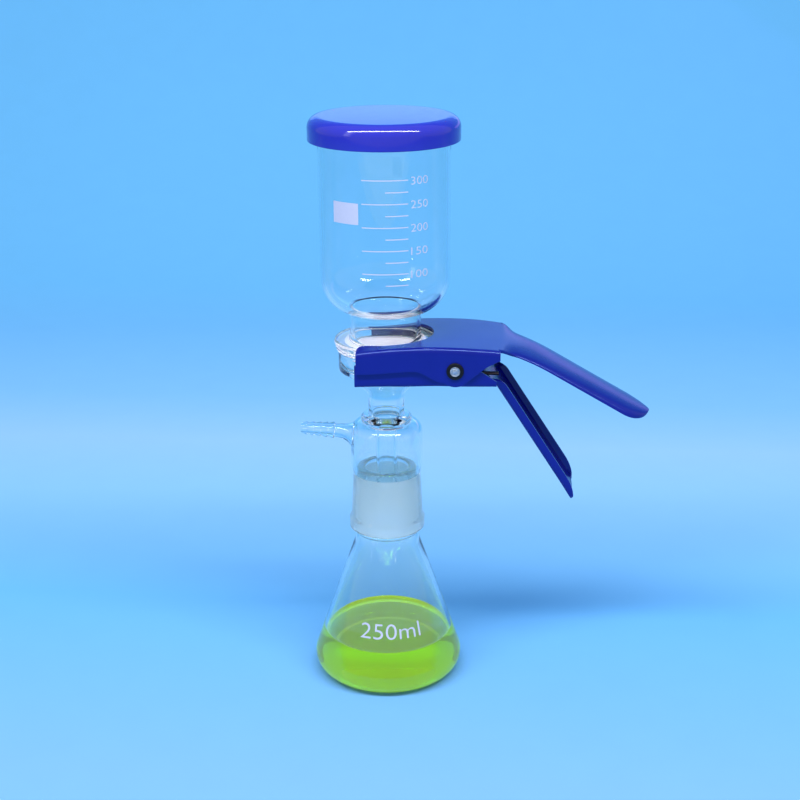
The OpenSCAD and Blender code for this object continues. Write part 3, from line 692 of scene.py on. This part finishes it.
# Funnel: flange, neck, round bottom and graduated cylinder with a thick rim
funnelSet = {
    "flange": 29.9, "flangeTaper": 1.1, "flangeHeight": 6.4, "flangeRound": 1.4,
    "neck": 20.5, "neckLength": 16.3, "neckWall": 2.0, "neckFillet": 2.2,
    "radius": 37.3, "wall": 2.2, "curve": 21.0, "length": 89.3,
    "rim": 40.2, "rimHeight": 7.2, "rimRound": 2.6, "membrane": 0.2,
}
funnelLow = flangeHeight + funnelSet["membrane"]
funnelFlangeTop = funnelLow + funnelSet["flangeHeight"]
curveX = funnelSet["radius"] - funnelSet["curve"]
curveHeight = (funnelFlangeTop + funnelSet["neckLength"]
               + math.sqrt(funnelSet["curve"] ** 2 - (funnelSet["neck"] - curveX) ** 2))
rimTop = curveHeight + funnelSet["length"]


def makeFunnel():
    s = funnelSet
    bore = s["neck"] - s["neckWall"]
    innerCurve = s["curve"] - s["wall"]
    neckAngle = -math.degrees(math.acos((s["neck"] - curveX) / s["curve"]))
    boreAngle = -math.degrees(math.acos((bore - curveX) / innerCurve))
    rimLow = rimTop - s["rimHeight"]
    foot = s["flange"] - s["flangeTaper"]
    outline = ([(bore, funnelLow + 0.3), (bore + 0.3, funnelLow), (foot - 0.7, funnelLow)]
               + arcPoints((foot - 0.7, funnelLow + 0.7), 0.7, -90, 0, 5)
               + arcPoints((s["flange"] - s["flangeRound"], funnelFlangeTop - s["flangeRound"]),
                           s["flangeRound"], 0, 90, 10)
               + arcPoints((s["neck"] + s["neckFillet"], funnelFlangeTop + s["neckFillet"]),
                           s["neckFillet"], -90, -180, 8)
               + [(s["neck"], curveHeight + s["curve"] * math.sin(math.radians(neckAngle)) - 2)]
               + arcPoints((curveX, curveHeight), s["curve"], neckAngle + 4, 0, 26)
               + [(s["radius"], curveHeight + step) for step in (12, 28, 44, 60, 74)]
               + swellPoints(s["radius"], rimLow - 1.2, s["rim"], rimLow + 1.3, 8)
               + arcPoints((s["rim"] - s["rimRound"], rimTop - s["rimRound"]), s["rimRound"], 0, 90, 10)
               + arcPoints((s["radius"] - s["wall"] + 1, rimTop - 1), 1.0, 90, 180, 6)
               + [(s["radius"] - s["wall"], curveHeight + step) for step in (70, 50, 30, 12)]
               + arcPoints((curveX, curveHeight), innerCurve, 0, boreAngle + 3, 24)
               + [(bore, curveHeight + innerCurve * math.sin(math.radians(boreAngle)) - 3)])
    piece = turnOutline(outline)
    finishPiece(piece, "funnelGlass", finishes["glass"], "clear_glass", "unit", "funnel")
    groundFaces(piece, finishes["ground"], 0, 0, funnelLow)


# Lid: a moulded cap with a rounded upper edge and a thin skirt over the funnel's rim
lidSet = {"wall": 2.1, "top": 2.2, "height": 14.0, "round": 6.4, "play": 0.5, "lip": 0.6, "crown": 0.25}


def makeLid():
    s = lidSet
    inner = funnelSet["rim"] + s["play"]
    outer = inner + s["wall"]
    top = rimTop + s["top"]
    low = top - s["height"]
    outline = ([(0, top), (12, top - 0.02), (24, top - s["crown"] * 0.5),
                (outer - s["round"], top - s["crown"])]
               + arcPoints((outer - s["round"], top - s["round"] - s["crown"]), s["round"], 88, 0, 20)
               + arcPoints((outer - s["lip"], low + s["lip"]), s["lip"], 0, -90, 5)
               + [(inner + 0.3, low), (inner, low + 0.4)]
               + arcPoints((inner - 2, rimTop - 2), 2.0, 0, 90, 6) + [(0, rimTop)])
    finishPiece(turnOutline(outline, 160), "lidMoulding", finishes["lid"], "blue_plastic", "unit", "lid")


makeCamera()
makeFlask()
makeFiltrate()
print("flask blown and filled")
makeBase()
makeFrit()
print("filter base blown")
makeFunnel()
makeLid()
print("funnel and lid made")


# Fired print: lines and writing patch stay the frame's own, the figures are wrapped round the glass
printSet = {
    "start": 9.8, "pitch": 12.9, "figures": ("100", "150", "200", "250", "300"), "figureWidth": 10.6,
    "figureHeight": 4.3, "figureDrop": 0.5, "figureAngle": 36.2,  # angles are to the right of the front
    "capacity": "250ml", "capacityWidth": 36.6, "capacityHeight": 9.2, "capacityAngle": 8.0,
    "capacityLow": 36.0, "ink": 0.1, "lift": 0.005,
}


def makeText(text, width, height):
    # flat lettering in the XZ plane, centred on X, standing on Z 0, cut fine enough to bend
    bpy.ops.object.select_all(action="DESELECT")
    bpy.ops.object.text_add()
    words = bpy.context.object
    words.data.body = text
    words.data.size = 1.0
    words.data.offset = -0.008
    words.data.resolution_u = 6
    bpy.ops.object.convert(target="MESH")
    words = bpy.context.object
    mesh = words.data
    xs = [v.co.x for v in mesh.vertices]
    ys = [v.co.y for v in mesh.vertices]
    for v in mesh.vertices:
        x = (v.co.x - (min(xs) + max(xs)) / 2) / (max(xs) - min(xs)) * width * mm
        v.co = (x, 0, (v.co.y - min(ys)) / (max(ys) - min(ys)) * height * mm)
    editAll(words)
    bpy.ops.mesh.remove_doubles(threshold=0.002 * mm)
    cuts = int(width)
    for i in range(1, cuts):
        bpy.ops.mesh.select_all(action="SELECT")
        bpy.ops.mesh.bisect(plane_co=((i / cuts - 0.5) * width * mm, 0, 0), plane_no=(1, 0, 0))
    bpy.ops.mesh.select_all(action="SELECT")
    bpy.ops.mesh.extrude_region_move(TRANSFORM_OT_translate={"value": (0, -printSet["ink"] * mm, 0)})
    bpy.ops.mesh.select_all(action="SELECT")
    bpy.ops.mesh.normals_make_consistent(inside=False)
    bpy.ops.object.mode_set(mode="OBJECT")
    return words


def wrapText(words, angle, low, surface):
    # bends flat lettering round the glass: surface gives its radius at a height in mm
    slant = (surface(low / mm + 5) - surface(low / mm)) / 5
    lean = math.cos(math.atan(slant))
    for v in words.data.vertices:
        z = low + v.co.z * lean
        radius = surface(z / mm) * mm - v.co.y
        turn = math.radians(angle - 90) + v.co.x / (surface(low / mm + 4) * mm)
        v.co = (radius * math.cos(turn), radius * math.sin(turn), z)
    smoothPiece(words, 30)


def makePrint():
    s = printSet
    figures = []
    for i, text in enumerate(s["figures"]):
        words = makeText(text, s["figureWidth"], s["figureHeight"])
        low = (curveHeight + s["start"] + i * s["pitch"] - s["figureHeight"] / 2 - s["figureDrop"]) * mm
        wrapText(words, s["figureAngle"], low, lambda z: funnelSet["radius"] + s["lift"])
        figures.append(words)
    bpy.ops.object.select_all(action="DESELECT")
    for words in figures:
        words.select_set(True)
    bpy.context.view_layer.objects.active = figures[0]
    bpy.ops.object.join()
    finishPiece(figures[0], "scaleFigures", finishes["enamel"], "white_enamel", "unit")
    words = makeText(s["capacity"], s["capacityWidth"], s["capacityHeight"])
    wrapText(words, s["capacityAngle"], s["capacityLow"] * mm, lambda z: flaskRadius(z) + s["lift"])
    finishPiece(words, "capacityFigures", finishes["enamel"], "white_enamel", "unit")


def dressNode(node, finish):
    # a node of the frame that keeps its own shape and gets its finish
    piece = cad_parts[node]
    piece.data.materials.clear()
    piece.data.materials.append(finishes[finish])


# Clamp: two jaws of folded sheet, each running into a handle
clampSet = {
    "sheet": 1.5, "halfWidth": 31.7, "bend": 2.4, "pivot": 42.0, "pin": 2.8, "tail": 25.2,
    "slot": 22.5, "slotDeep": 28.0, "forkRound": 5.0, "lobe": 9.4, "ear": 9.0, "gap": 0.4, "edge": 0.32,
}
upperTop = funnelFlangeTop + clampSet["sheet"]
lowerBottom = baseFlangeLow - clampSet["sheet"]
pivotHeight = (upperTop + lowerBottom) / 2
bodyEnd = clampSet["pivot"] + clampSet["tail"]
sideOpen = flangeHeight - 4.0
# side: 1 above and -1 below; power: how square a handle's section is, tipPower its tip's outline;
# spread: how its columns lie across it; bends: radius and degrees
upperSet = {
    "side": 1, "front": -14.2, "end": bodyEnd, "root": bodyEnd - 1.0, "rootWidth": 27.5,
    "widths": (22.0, 17.5), "depths": (2.6, 5.7), "power": 2.4, "spread": 2 / 2.4, "tipPower": 2.0,
    "bends": ((12.0, 16.2), (140.0, 12.3)), "run": 63.7, "rootLength": 13.0,
    "halfWidth": clampSet["halfWidth"], "level": upperTop, "tipShape": 0.9,
}
lowerSet = {
    "side": -1, "front": -15.2, "end": bodyEnd - 2.0, "root": bodyEnd - 10.2, "rootWidth": 21.5,
    "widths": (17.0, 17.0), "depths": (6.0, 6.0), "power": 7.0, "spread": 0.62, "tipPower": 7.0,
    "bends": ((9.0, 57.0),), "run": 82.4, "rootLength": 11.0,
    "halfWidth": clampSet["halfWidth"] - clampSet["sheet"] - clampSet["gap"], "level": lowerBottom,
    "tipShape": 0.9,
}


def slotEdge(x, front):
    # half width of the fork's slot: rounded at the jaw's tip and at its inner end
    c = clampSet
    corner = front + c["forkRound"]
    if x < corner:
        return c["slot"] + c["forkRound"] - math.sqrt(max(c["forkRound"] ** 2 - (corner - x) ** 2, 0.0))
    middle = c["slotDeep"] - c["slot"]
    if x < middle:
        return c["slot"]
    return math.sqrt(max(c["slot"] ** 2 - (x - middle) ** 2, 0.0)) if x < c["slotDeep"] else 0.0


def smoothStep(share):
    share = min(max(share, 0.0), 1.0)
    return share * share * (3 - 2 * share)


def archedLevel(s, x):
    # the pressed plates are slightly arched along the clamp
    if s["side"] > 0:
        return 0.1176 * x - 0.0017 * x * x - 0.1
    return -1.1 * ((8 - x) / 26) ** 1.5 if x < 8 else 0.9 * smoothStep((x - 8) / 26)


def sideLimit(s, x):
    # height of the side wall's free edge, with the lobe or ear round the pivot
    c = clampSet
    away = x - c["pivot"]
    if s["side"] > 0:
        left, right = c["pivot"] - 23.0, c["pivot"] + 18.0
        if x < left:
            edge = sideOpen - 2.5 * smoothStep((left - x) / (left - s["front"])) ** 0.8  # deeper at the tip
        elif x < c["pivot"]:
            edge = sideOpen - smoothStep((x - left) / 16.0) * 6.3  # and deeper towards the pivot
        elif x < right:
            edge = pivotHeight - 6.3 + max(away - 7.0, 0.0) * 0.81  # level past the pin, then up
        else:
            edge = pivotHeight + 2.6 + (x - right) * 0.47  # a gentler slope at the tail
        if abs(away) < c["lobe"]:
            edge = min(edge, pivotHeight - math.sqrt(c["lobe"] ** 2 - away ** 2))
        return edge
    edge = pivotHeight + 3.1 - max(abs(away) - 8.5, 0.0) * 0.68
    if away < 0:
        edge = max(edge, flangeHeight - 2.0)  # the fork's arms stay high beside the flange
    if abs(away) < c["ear"]:
        edge = max(edge, pivotHeight + math.sqrt(c["ear"] ** 2 - away ** 2))
    return max(min(edge, pivotHeight + c["ear"]), lowerBottom + 4)


def handleLength(s):
    return sum(radius * math.radians(degrees) for radius, degrees in s["bends"]) + s["run"]


def pathPlace(bends, along):
    # place and turn of a handle's centre line: bends one after another, then a straight run
    x = z = heading = 0.0
    for radius, degrees in bends:
        turn = math.radians(degrees)
        part = min(along, radius * turn)
        turned = heading + part / radius
        x += radius * (math.sin(turned) - math.sin(heading))
        z -= radius * (math.cos(heading) - math.cos(turned))
        along -= part
        heading = turned
        if along <= 0:
            return x, z, heading
    return x + along * math.cos(heading), z - along * math.sin(heading), heading


plateCuts = 12  # columns of the plate that run on into the handle


def plateColumns(s, x):
    # plan positions of the plate's columns from the slot or the middle out to the bend
    inner = slotEdge(x, s["front"]) if x < clampSet["slotDeep"] else 0.0
    outer = s["halfWidth"] - clampSet["bend"]
    share = s["rootWidth"] / outer
    shares = [share * j / plateCuts for j in range(plateCuts + 1)] + [share + (1 - share) / 2, 1.0]
    return [inner + (outer - inner) * f for f in shares]


def jawSection(s, x):
    # half a section of the folded body: plate, bend and side wall, from the middle outwards
    c = clampSet
    if s["side"] > 0:
        taper = 1.6 * smoothStep((x - c["pivot"] - 6) / 22.0)
    else:
        taper = 1.2 * smoothStep((x - 45) / 22.0)
    level = s["level"] + archedLevel(s, x)
    outer = s["halfWidth"] - c["bend"]
    points = []
    # the upper tip is bent down at its outside only: its slot lies on the glass
    for y in plateColumns(s, x):
        sag = min(level - s["level"], 0.0) * (outer - y) / (outer - c["slot"]) if s["side"] > 0 else 0.0
        points.append((x, y - taper * y / outer, level - sag))
    for i in range(1, 6):
        a = math.pi / 2 * i / 5
        points.append((x, outer - taper + c["bend"] * math.sin(a),
                       level - s["side"] * c["bend"] * (1 - math.cos(a))))
    start, stop = level - s["side"] * c["bend"], sideLimit(s, x)
    for i in range(1, 9):
        points.append((x, s["halfWidth"] - taper, start + (stop - start) * i / 8))
    return points


def handleSection(s, along):
    # half a section of the handle at a distance along its centre line
    length = handleLength(s)
    tip = s["tipShape"] * s["widths"][1]
    nearTip = min(max(0.0, (along - length + tip) / tip), 0.995)
    grow = smoothStep(along / s["rootLength"])
    width = s["widths"][0] + (s["widths"][1] - s["widths"][0]) * along / length
    width += (s["rootWidth"] - width) * (1 - grow) ** 1.6
    half = width * (1 - nearTip ** s["tipPower"]) ** (1 / s["tipPower"])
    depth = s["depths"][0] + (s["depths"][1] - s["depths"][0]) * along / length
    depth *= grow * math.sqrt(1 - nearTip ** 2)
    px, pz, heading = pathPlace(s["bends"], along)
    power = 2 / s["power"]
    level = s["level"] + archedLevel(s, s["root"])
    points = []
    for j in range(plateCuts + 1):
        flat = j / plateCuts
        a = math.pi / 2 * flat
        across = flat * (1 - grow) + min(1.0, math.sin(a) ** s["spread"]) * grow
        drop = depth * (1 - math.cos(a) ** power) if a < math.pi / 2 - 1e-6 else depth
        points.append((s["root"] + px - s["side"] * drop * math.sin(heading), half * across,
                       level + pz - s["side"] * drop * math.cos(heading)))
    return points


def bridgeRows(first, second, count):
    # faces between two rows of points, given by the number of their first points
    return [(first + j, second + j, second + j + 1, first + j + 1) for j in range(count - 1)]


def skinJaw(s, name):
    # the sheet's outer skin: body stations, then the handle drawn out of the plate's middle columns
    c = clampSet
    middle = c["slotDeep"] - c["slot"]
    stations = [s["front"] + c["forkRound"] * (1 - math.cos(math.pi / 2 * i / 6)) for i in range(7)]
    stations += [-7.0, -3.0, 1.0, 3.5]
    stations += [middle + c["slot"] * math.sin(math.pi / 2 * i / 12) for i in range(13)]
    count = int((s["root"] - c["slotDeep"]) / 1.6)
    stations += [c["slotDeep"] + (s["root"] - c["slotDeep"]) * i / count for i in range(1, count + 1)]
    rows = [jawSection(s, x) for x in stations]
    columns = len(rows[0])
    points = [p for row in rows for p in row]
    faces = []
    for i in range(len(rows) - 1):
        faces += bridgeRows(i * columns, (i + 1) * columns, columns)
    lastRow = (len(rows) - 1) * columns
    wall = plateCuts + 2
    previous = lastRow + wall
    for i in range(1, 5):  # side walls that run on past the handle's root
        row = jawSection(s, s["root"] + (s["end"] - s["root"]) * i / 4)[wall:]
        faces += bridgeRows(previous, len(points), len(row))
        previous = len(points)
        points += row
    length = handleLength(s)
    tip = s["tipShape"] * s["widths"][1]
    steps = [0.6, 1.4, 2.4, 3.6, 5.0, 6.5, 8.0, 9.5, 11.0, 13.0]
    steps += [13.0 + (length - tip - 13.0) * i / 22 for i in range(1, 23)]
    steps += [length - tip * (1 - math.sin(math.pi / 2 * i / 12)) for i in range(1, 13)]
    previous = lastRow
    for along in steps:
        faces += bridgeRows(previous, len(points), plateCuts + 1)
        previous = len(points)
        points += handleSection(s, along)
    return skinPoints(name, [(x * mm, y * mm, z * mm) for x, y, z in points], faces)


def addRod(radius, length):
    # a rod across the clamp on the pivot's axis, in millimetres
    bpy.ops.object.select_all(action="DESELECT")
    bpy.ops.mesh.primitive_cylinder_add(vertices=48, radius=radius * mm, depth=length * mm,
                                        location=(clampSet["pivot"] * mm, 0, pivotHeight * mm),
                                        rotation=(math.pi / 2, 0, 0))
    rod = bpy.context.object
    bpy.ops.object.transform_apply()
    return rod


def makeJaw(s, name, node, body):
    c = clampSet
    piece = skinJaw(s, name)
    applyModifier(piece, "MIRROR", use_axis=(False, True, False), use_clip=True,
                  merge_threshold=0.001 * mm)
    closeShell(piece, 0.001)
    # an open sheet may come out either way up, so its plate decides
    plate = min(piece.data.polygons, key=lambda f: (f.center - Vector((45, 3, s["level"])) * mm).length)
    if plate.normal.z * s["side"] < 0:
        editAll(piece)
        bpy.ops.mesh.flip_normals()
        bpy.ops.object.mode_set(mode="OBJECT")
    applyModifier(piece, "SOLIDIFY", thickness=c["sheet"] * mm, offset=-1.0, use_even_offset=True,
                  use_quality_normals=True)
    applyModifier(piece, "BEVEL", width=c["edge"] * mm, segments=2, limit_method="ANGLE",
                  angle_limit=math.radians(50))
    drill = addRod(c["pin"] + 0.06, 80)
    applyModifier(piece, "BOOLEAN", operation="DIFFERENCE", object=drill, solver="EXACT")
    bpy.data.objects.remove(drill)
    smoothPiece(piece, 38)
    finishPiece(piece, name, finishes["paint"], "blue_paint", body, node)


makePrint()
dressNode("scale_lines", "enamel")
dressNode("writing_patch", "enamel")
dressNode("membrane_filter", "membrane")
print("print fired on")
makeJaw(upperSet, "upperJawPressing", "upper_jaw", "unit")
makeJaw(lowerSet, "lowerJawPressing", "lower_jaw", "lower_jaw")
print("jaws pressed")


# Pivot: a pin with grooved ends, two snap rings and a torsion spring between the jaws
pivotSet = {
    "ring": 4.9, "ringThick": 1.1, "ringRound": 0.35, "proud": 0.2,
    "coil": 6.0, "wire": 1.1, "turns": 7, "turnSteps": 24, "leg": 24.0,
}


def makePin():
    p, c = pivotSet, clampSet
    pin = addRod(c["pin"], 2 * (c["halfWidth"] + p["ringThick"] + p["proud"]))
    for side in (-1, 1):
        editAll(pin)
        bpy.ops.mesh.select_mode(type="FACE")
        bpy.ops.mesh.select_all(action="DESELECT")
        bpy.ops.object.mode_set(mode="OBJECT")
        for face in pin.data.polygons:
            face.select = face.normal.y * side > 0.9
        bpy.ops.object.mode_set(mode="EDIT")
        bpy.ops.mesh.inset(thickness=0.45 * mm)
        bpy.ops.mesh.extrude_region_move(TRANSFORM_OT_translate={"value": (0, side * -0.25 * mm, 0)})
        bpy.ops.mesh.inset(thickness=0.9 * mm)
        bpy.ops.mesh.extrude_region_move(TRANSFORM_OT_translate={"value": (0, side * 0.2 * mm, 0)})
        bpy.ops.object.mode_set(mode="OBJECT")
    applyModifier(pin, "BEVEL", width=0.16 * mm, segments=2, limit_method="ANGLE",
                  angle_limit=math.radians(50))
    smoothPiece(pin)
    finishPiece(pin, "groovedPin", finishes["steel"], "bright_steel", "unit", "pivot_pin")


def makeRing(side, name, node):
    p, c = pivotSet, clampSet
    half, edge = p["ringThick"] / 2, p["ringRound"]
    outline = [(c["pin"] + 0.03, -half + 0.1), (c["pin"] + 0.13, -half), (p["ring"] - edge, -half)]
    outline += arcPoints((p["ring"] - edge, -half + edge), edge, -90, 0, 4)
    outline += arcPoints((p["ring"] - edge, half - edge), edge, 0, 90, 4)
    outline += [(c["pin"] + 0.13, half), (c["pin"] + 0.03, half - 0.1)]
    ring = turnOutline(outline, 64)
    place = Vector((c["pivot"], side * (c["halfWidth"] + half), pivotHeight)) * mm
    ring.data.transform(Matrix.Translation(place) @ Matrix.Rotation(math.pi / 2, 4, "X"))
    finishPiece(ring, name, finishes["ring"], "black_rubber", "unit", node)


def makeSpring():
    # one wire: a leg on the lower jaw, the coil round the pin, and a leg under the upper jaw
    p, c = pivotSet, clampSet
    half = p["turns"] * (2 * p["wire"] + 0.35) / 2
    steps = int(p["turnSteps"] * (p["turns"] + 0.5))
    lowLeg = lowerBottom + c["sheet"] + p["wire"] + 0.55 - pivotHeight
    highLeg = upperTop - c["sheet"] - p["wire"] - 0.25 - pivotHeight
    line = [(p["leg"] * share, -half, lowLeg) for share in (1.0, 0.8, 0.6, 0.4, 0.2)]
    for i in range(steps + 1):
        a = 2 * math.pi * i / p["turnSteps"]
        reach = lowLeg if i < 2 else (-highLeg if i > steps - 2 else -p["coil"])
        line.append((-p["coil"] * math.sin(a), half * (2 * i / steps - 1),
                     max(reach, -p["coil"]) * math.cos(a)))
    line += [(p["leg"] * share, half, highLeg) for share in (0.2, 0.4, 0.6, 0.8, 1.0)]
    curve = bpy.data.curves.new("springWire", "CURVE")
    curve.dimensions = "3D"
    curve.bevel_depth = p["wire"] * mm
    curve.bevel_resolution = 3
    curve.use_fill_caps = True
    spline = curve.splines.new("POLY")
    spline.points.add(len(line) - 1)
    for point, (x, y, z) in zip(spline.points, line):
        point.co = ((c["pivot"] + x) * mm, y * mm, (pivotHeight + z) * mm, 1)
    piece = bpy.data.objects.new("springWire", curve)
    scene.collection.objects.link(piece)
    selectOnly(piece)
    bpy.ops.object.convert(target="MESH")
    piece = bpy.context.object
    closeShell(piece)
    smoothPiece(piece, 50)
    piece.name = "torsionSpringWire"
    piece.data.materials.clear()
    piece.data.materials.append(finishes["spring"])
    # the coil turns from its high leg, on the upper jaw, to its low leg on the lower one
    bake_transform(piece)
    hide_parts("torsion_spring")


makePin()
makeRing(-1, "frontSnapRing", "front_retaining_ring")
makeRing(1, "rearSnapRing", "rear_retaining_ring")
makeSpring()
print("pivot fitted")


# Studio: a sweep of pale blue paper under a long soft strip, with a weak window at the left and three
# weak coloured strips behind, which the clamp's plate and handles mirror. All in metres.
studioSet = {
    # painted light: colours by distance behind the glass, paler in a band and darker elsewhere, for the
    # light on the paper
    "dye": ((-0.13, "#72A4E0"), (0.08, "#63A7DE"), (0.26, "#82B5E0"), (0.38, "#90BBE3"),
            (0.5, "#7FB7E3"), (0.85, "#6FB7E3")),  # distance behind the glass
    "front": -1.3, "back": 0.75, "sweep": 0.6, "height": 2.6, "width": 2.4, "fibre": 0.03,
    "air": "#C0D2E4", "airStrength": 0.9,
    "lights": {  # place, aim, width, depth, watts, colour
        "stripSoftbox": ((0.0, -0.6, 1.3), (0, 0, 0.15), 2.2, 0.12, 31.0, "#FFFFFF"),
        "leftWindow": ((-1.3, -0.9, 0.9), (0, 0, 0.2), 0.3, 1.2, 2.0, "#FFFFFF"),
        "backStrip": ((0.0, 1.2, 0.505), (0, 0, 0.34), 0.9, 0.12, 0.27, "#A8CCFF"),
        "plateStrip": ((0.0, 1.2, 0.62), (0, 0, 0.21), 0.9, 0.1, 0.3, "#80A0FF"),
        "handleStrip": ((0.6, 1.2, 0.42), (0.1, 0, 0.2), 1.2, 0.18, 0.52, "#C890FF"),
    },
}


def paperMaterial():
    # Seamless background paper: matt, with a faint fibre. Its colour is painted light: it changes with the
    # distance behind the glass, palest in a band from 0.26 to 0.5 m, for the way the light falls along the
    # paper
    material, tree, place = startMaterial("seamlessPaper")
    fibre = addNode(tree, "ShaderNodeTexNoise", inputs={"Scale": 1 / studioSet["fibre"], "Detail": 3.0},
                    links={"Vector": place})
    parts = addNode(tree, "ShaderNodeSeparateXYZ", links={"Vector": place})
    near, far = studioSet["dye"][0][0], studioSet["dye"][-1][0]
    away = addNode(tree, "ShaderNodeMapRange", inputs={"From Min": near, "From Max": far},
                   links={"Value": parts.outputs["Y"]})
    # painted light along the paper: its colour picked by distance behind the glass
    dye = addNode(tree, "ShaderNodeValToRGB", links={"Fac": away.outputs["Result"]})
    setStops(dye, [((depth - near) / (far - near), shade) for depth, shade in studioSet["dye"]])
    colour = addNode(tree, "ShaderNodeHueSaturation", links={"Color": dye.outputs["Color"]})
    value = addNode(tree, "ShaderNodeMapRange", inputs={"To Min": 0.98, "To Max": 1.02},
                    links={"Value": fibre.outputs["Fac"]})
    tree.links.new(value.outputs["Result"], colour.inputs["Value"])
    paper = addNode(tree, "ShaderNodeBsdfPrincipled", inputs={"Roughness": 0.9, "Specular IOR Level": 0.1},
                    links={"Base Color": colour.outputs["Color"]})
    endMaterial(tree, paper.outputs["BSDF"])
    return material


def makeStudio():
    s = studioSet
    line = [(s["front"], 0.0), (s["back"], 0.0)]
    line += [(s["back"] + s["sweep"] * math.sin(math.pi / 2 * i / 16),
              s["sweep"] * (1 - math.cos(math.pi / 2 * i / 16))) for i in range(1, 17)]
    line += [(s["back"] + s["sweep"], s["height"])]
    moves = [(0, y1 - y0, z1 - z0) for (y0, z0), (y1, z1) in zip(line, line[1:])]
    paper = drawLine((-s["width"], s["front"], 0), moves)
    bpy.ops.mesh.select_all(action="SELECT")
    bpy.ops.mesh.extrude_region_move(TRANSFORM_OT_translate={"value": (2 * s["width"], 0, 0)})
    bpy.ops.mesh.select_all(action="SELECT")
    bpy.ops.mesh.normals_make_consistent(inside=False)
    bpy.ops.object.mode_set(mode="OBJECT")
    smoothPiece(paper, 30)
    paper.name = "paperSweep"
    paper.data.transform(studioTurn)
    paper.data.materials.append(paperMaterial())


def makeLight(name, place, aim, width, depth, watts, colour):
    bpy.ops.object.light_add(type="AREA", location=studioTurn @ Vector(place))
    light = bpy.context.object
    light.name = name
    light.data.shape = "RECTANGLE"
    light.data.size, light.data.size_y = width, depth
    light.data.energy = watts
    light.data.color = linearColour(colour)[:3]
    look = (Vector(aim) - Vector(place)).to_track_quat("-Z", "Y")
    light.rotation_euler = (studioTurn.to_quaternion() @ look).to_euler()


def makeLights():
    world = bpy.data.worlds.new("studioAir")
    world.use_nodes = True
    air = world.node_tree.nodes["Background"]
    air.inputs["Color"].default_value = linearColour(studioSet["air"])
    air.inputs["Strength"].default_value = studioSet["airStrength"]
    scene.world = world
    for name, light in studioSet["lights"].items():
        makeLight(name, *light)


makeStudio()
makeLights()
print("studio set")
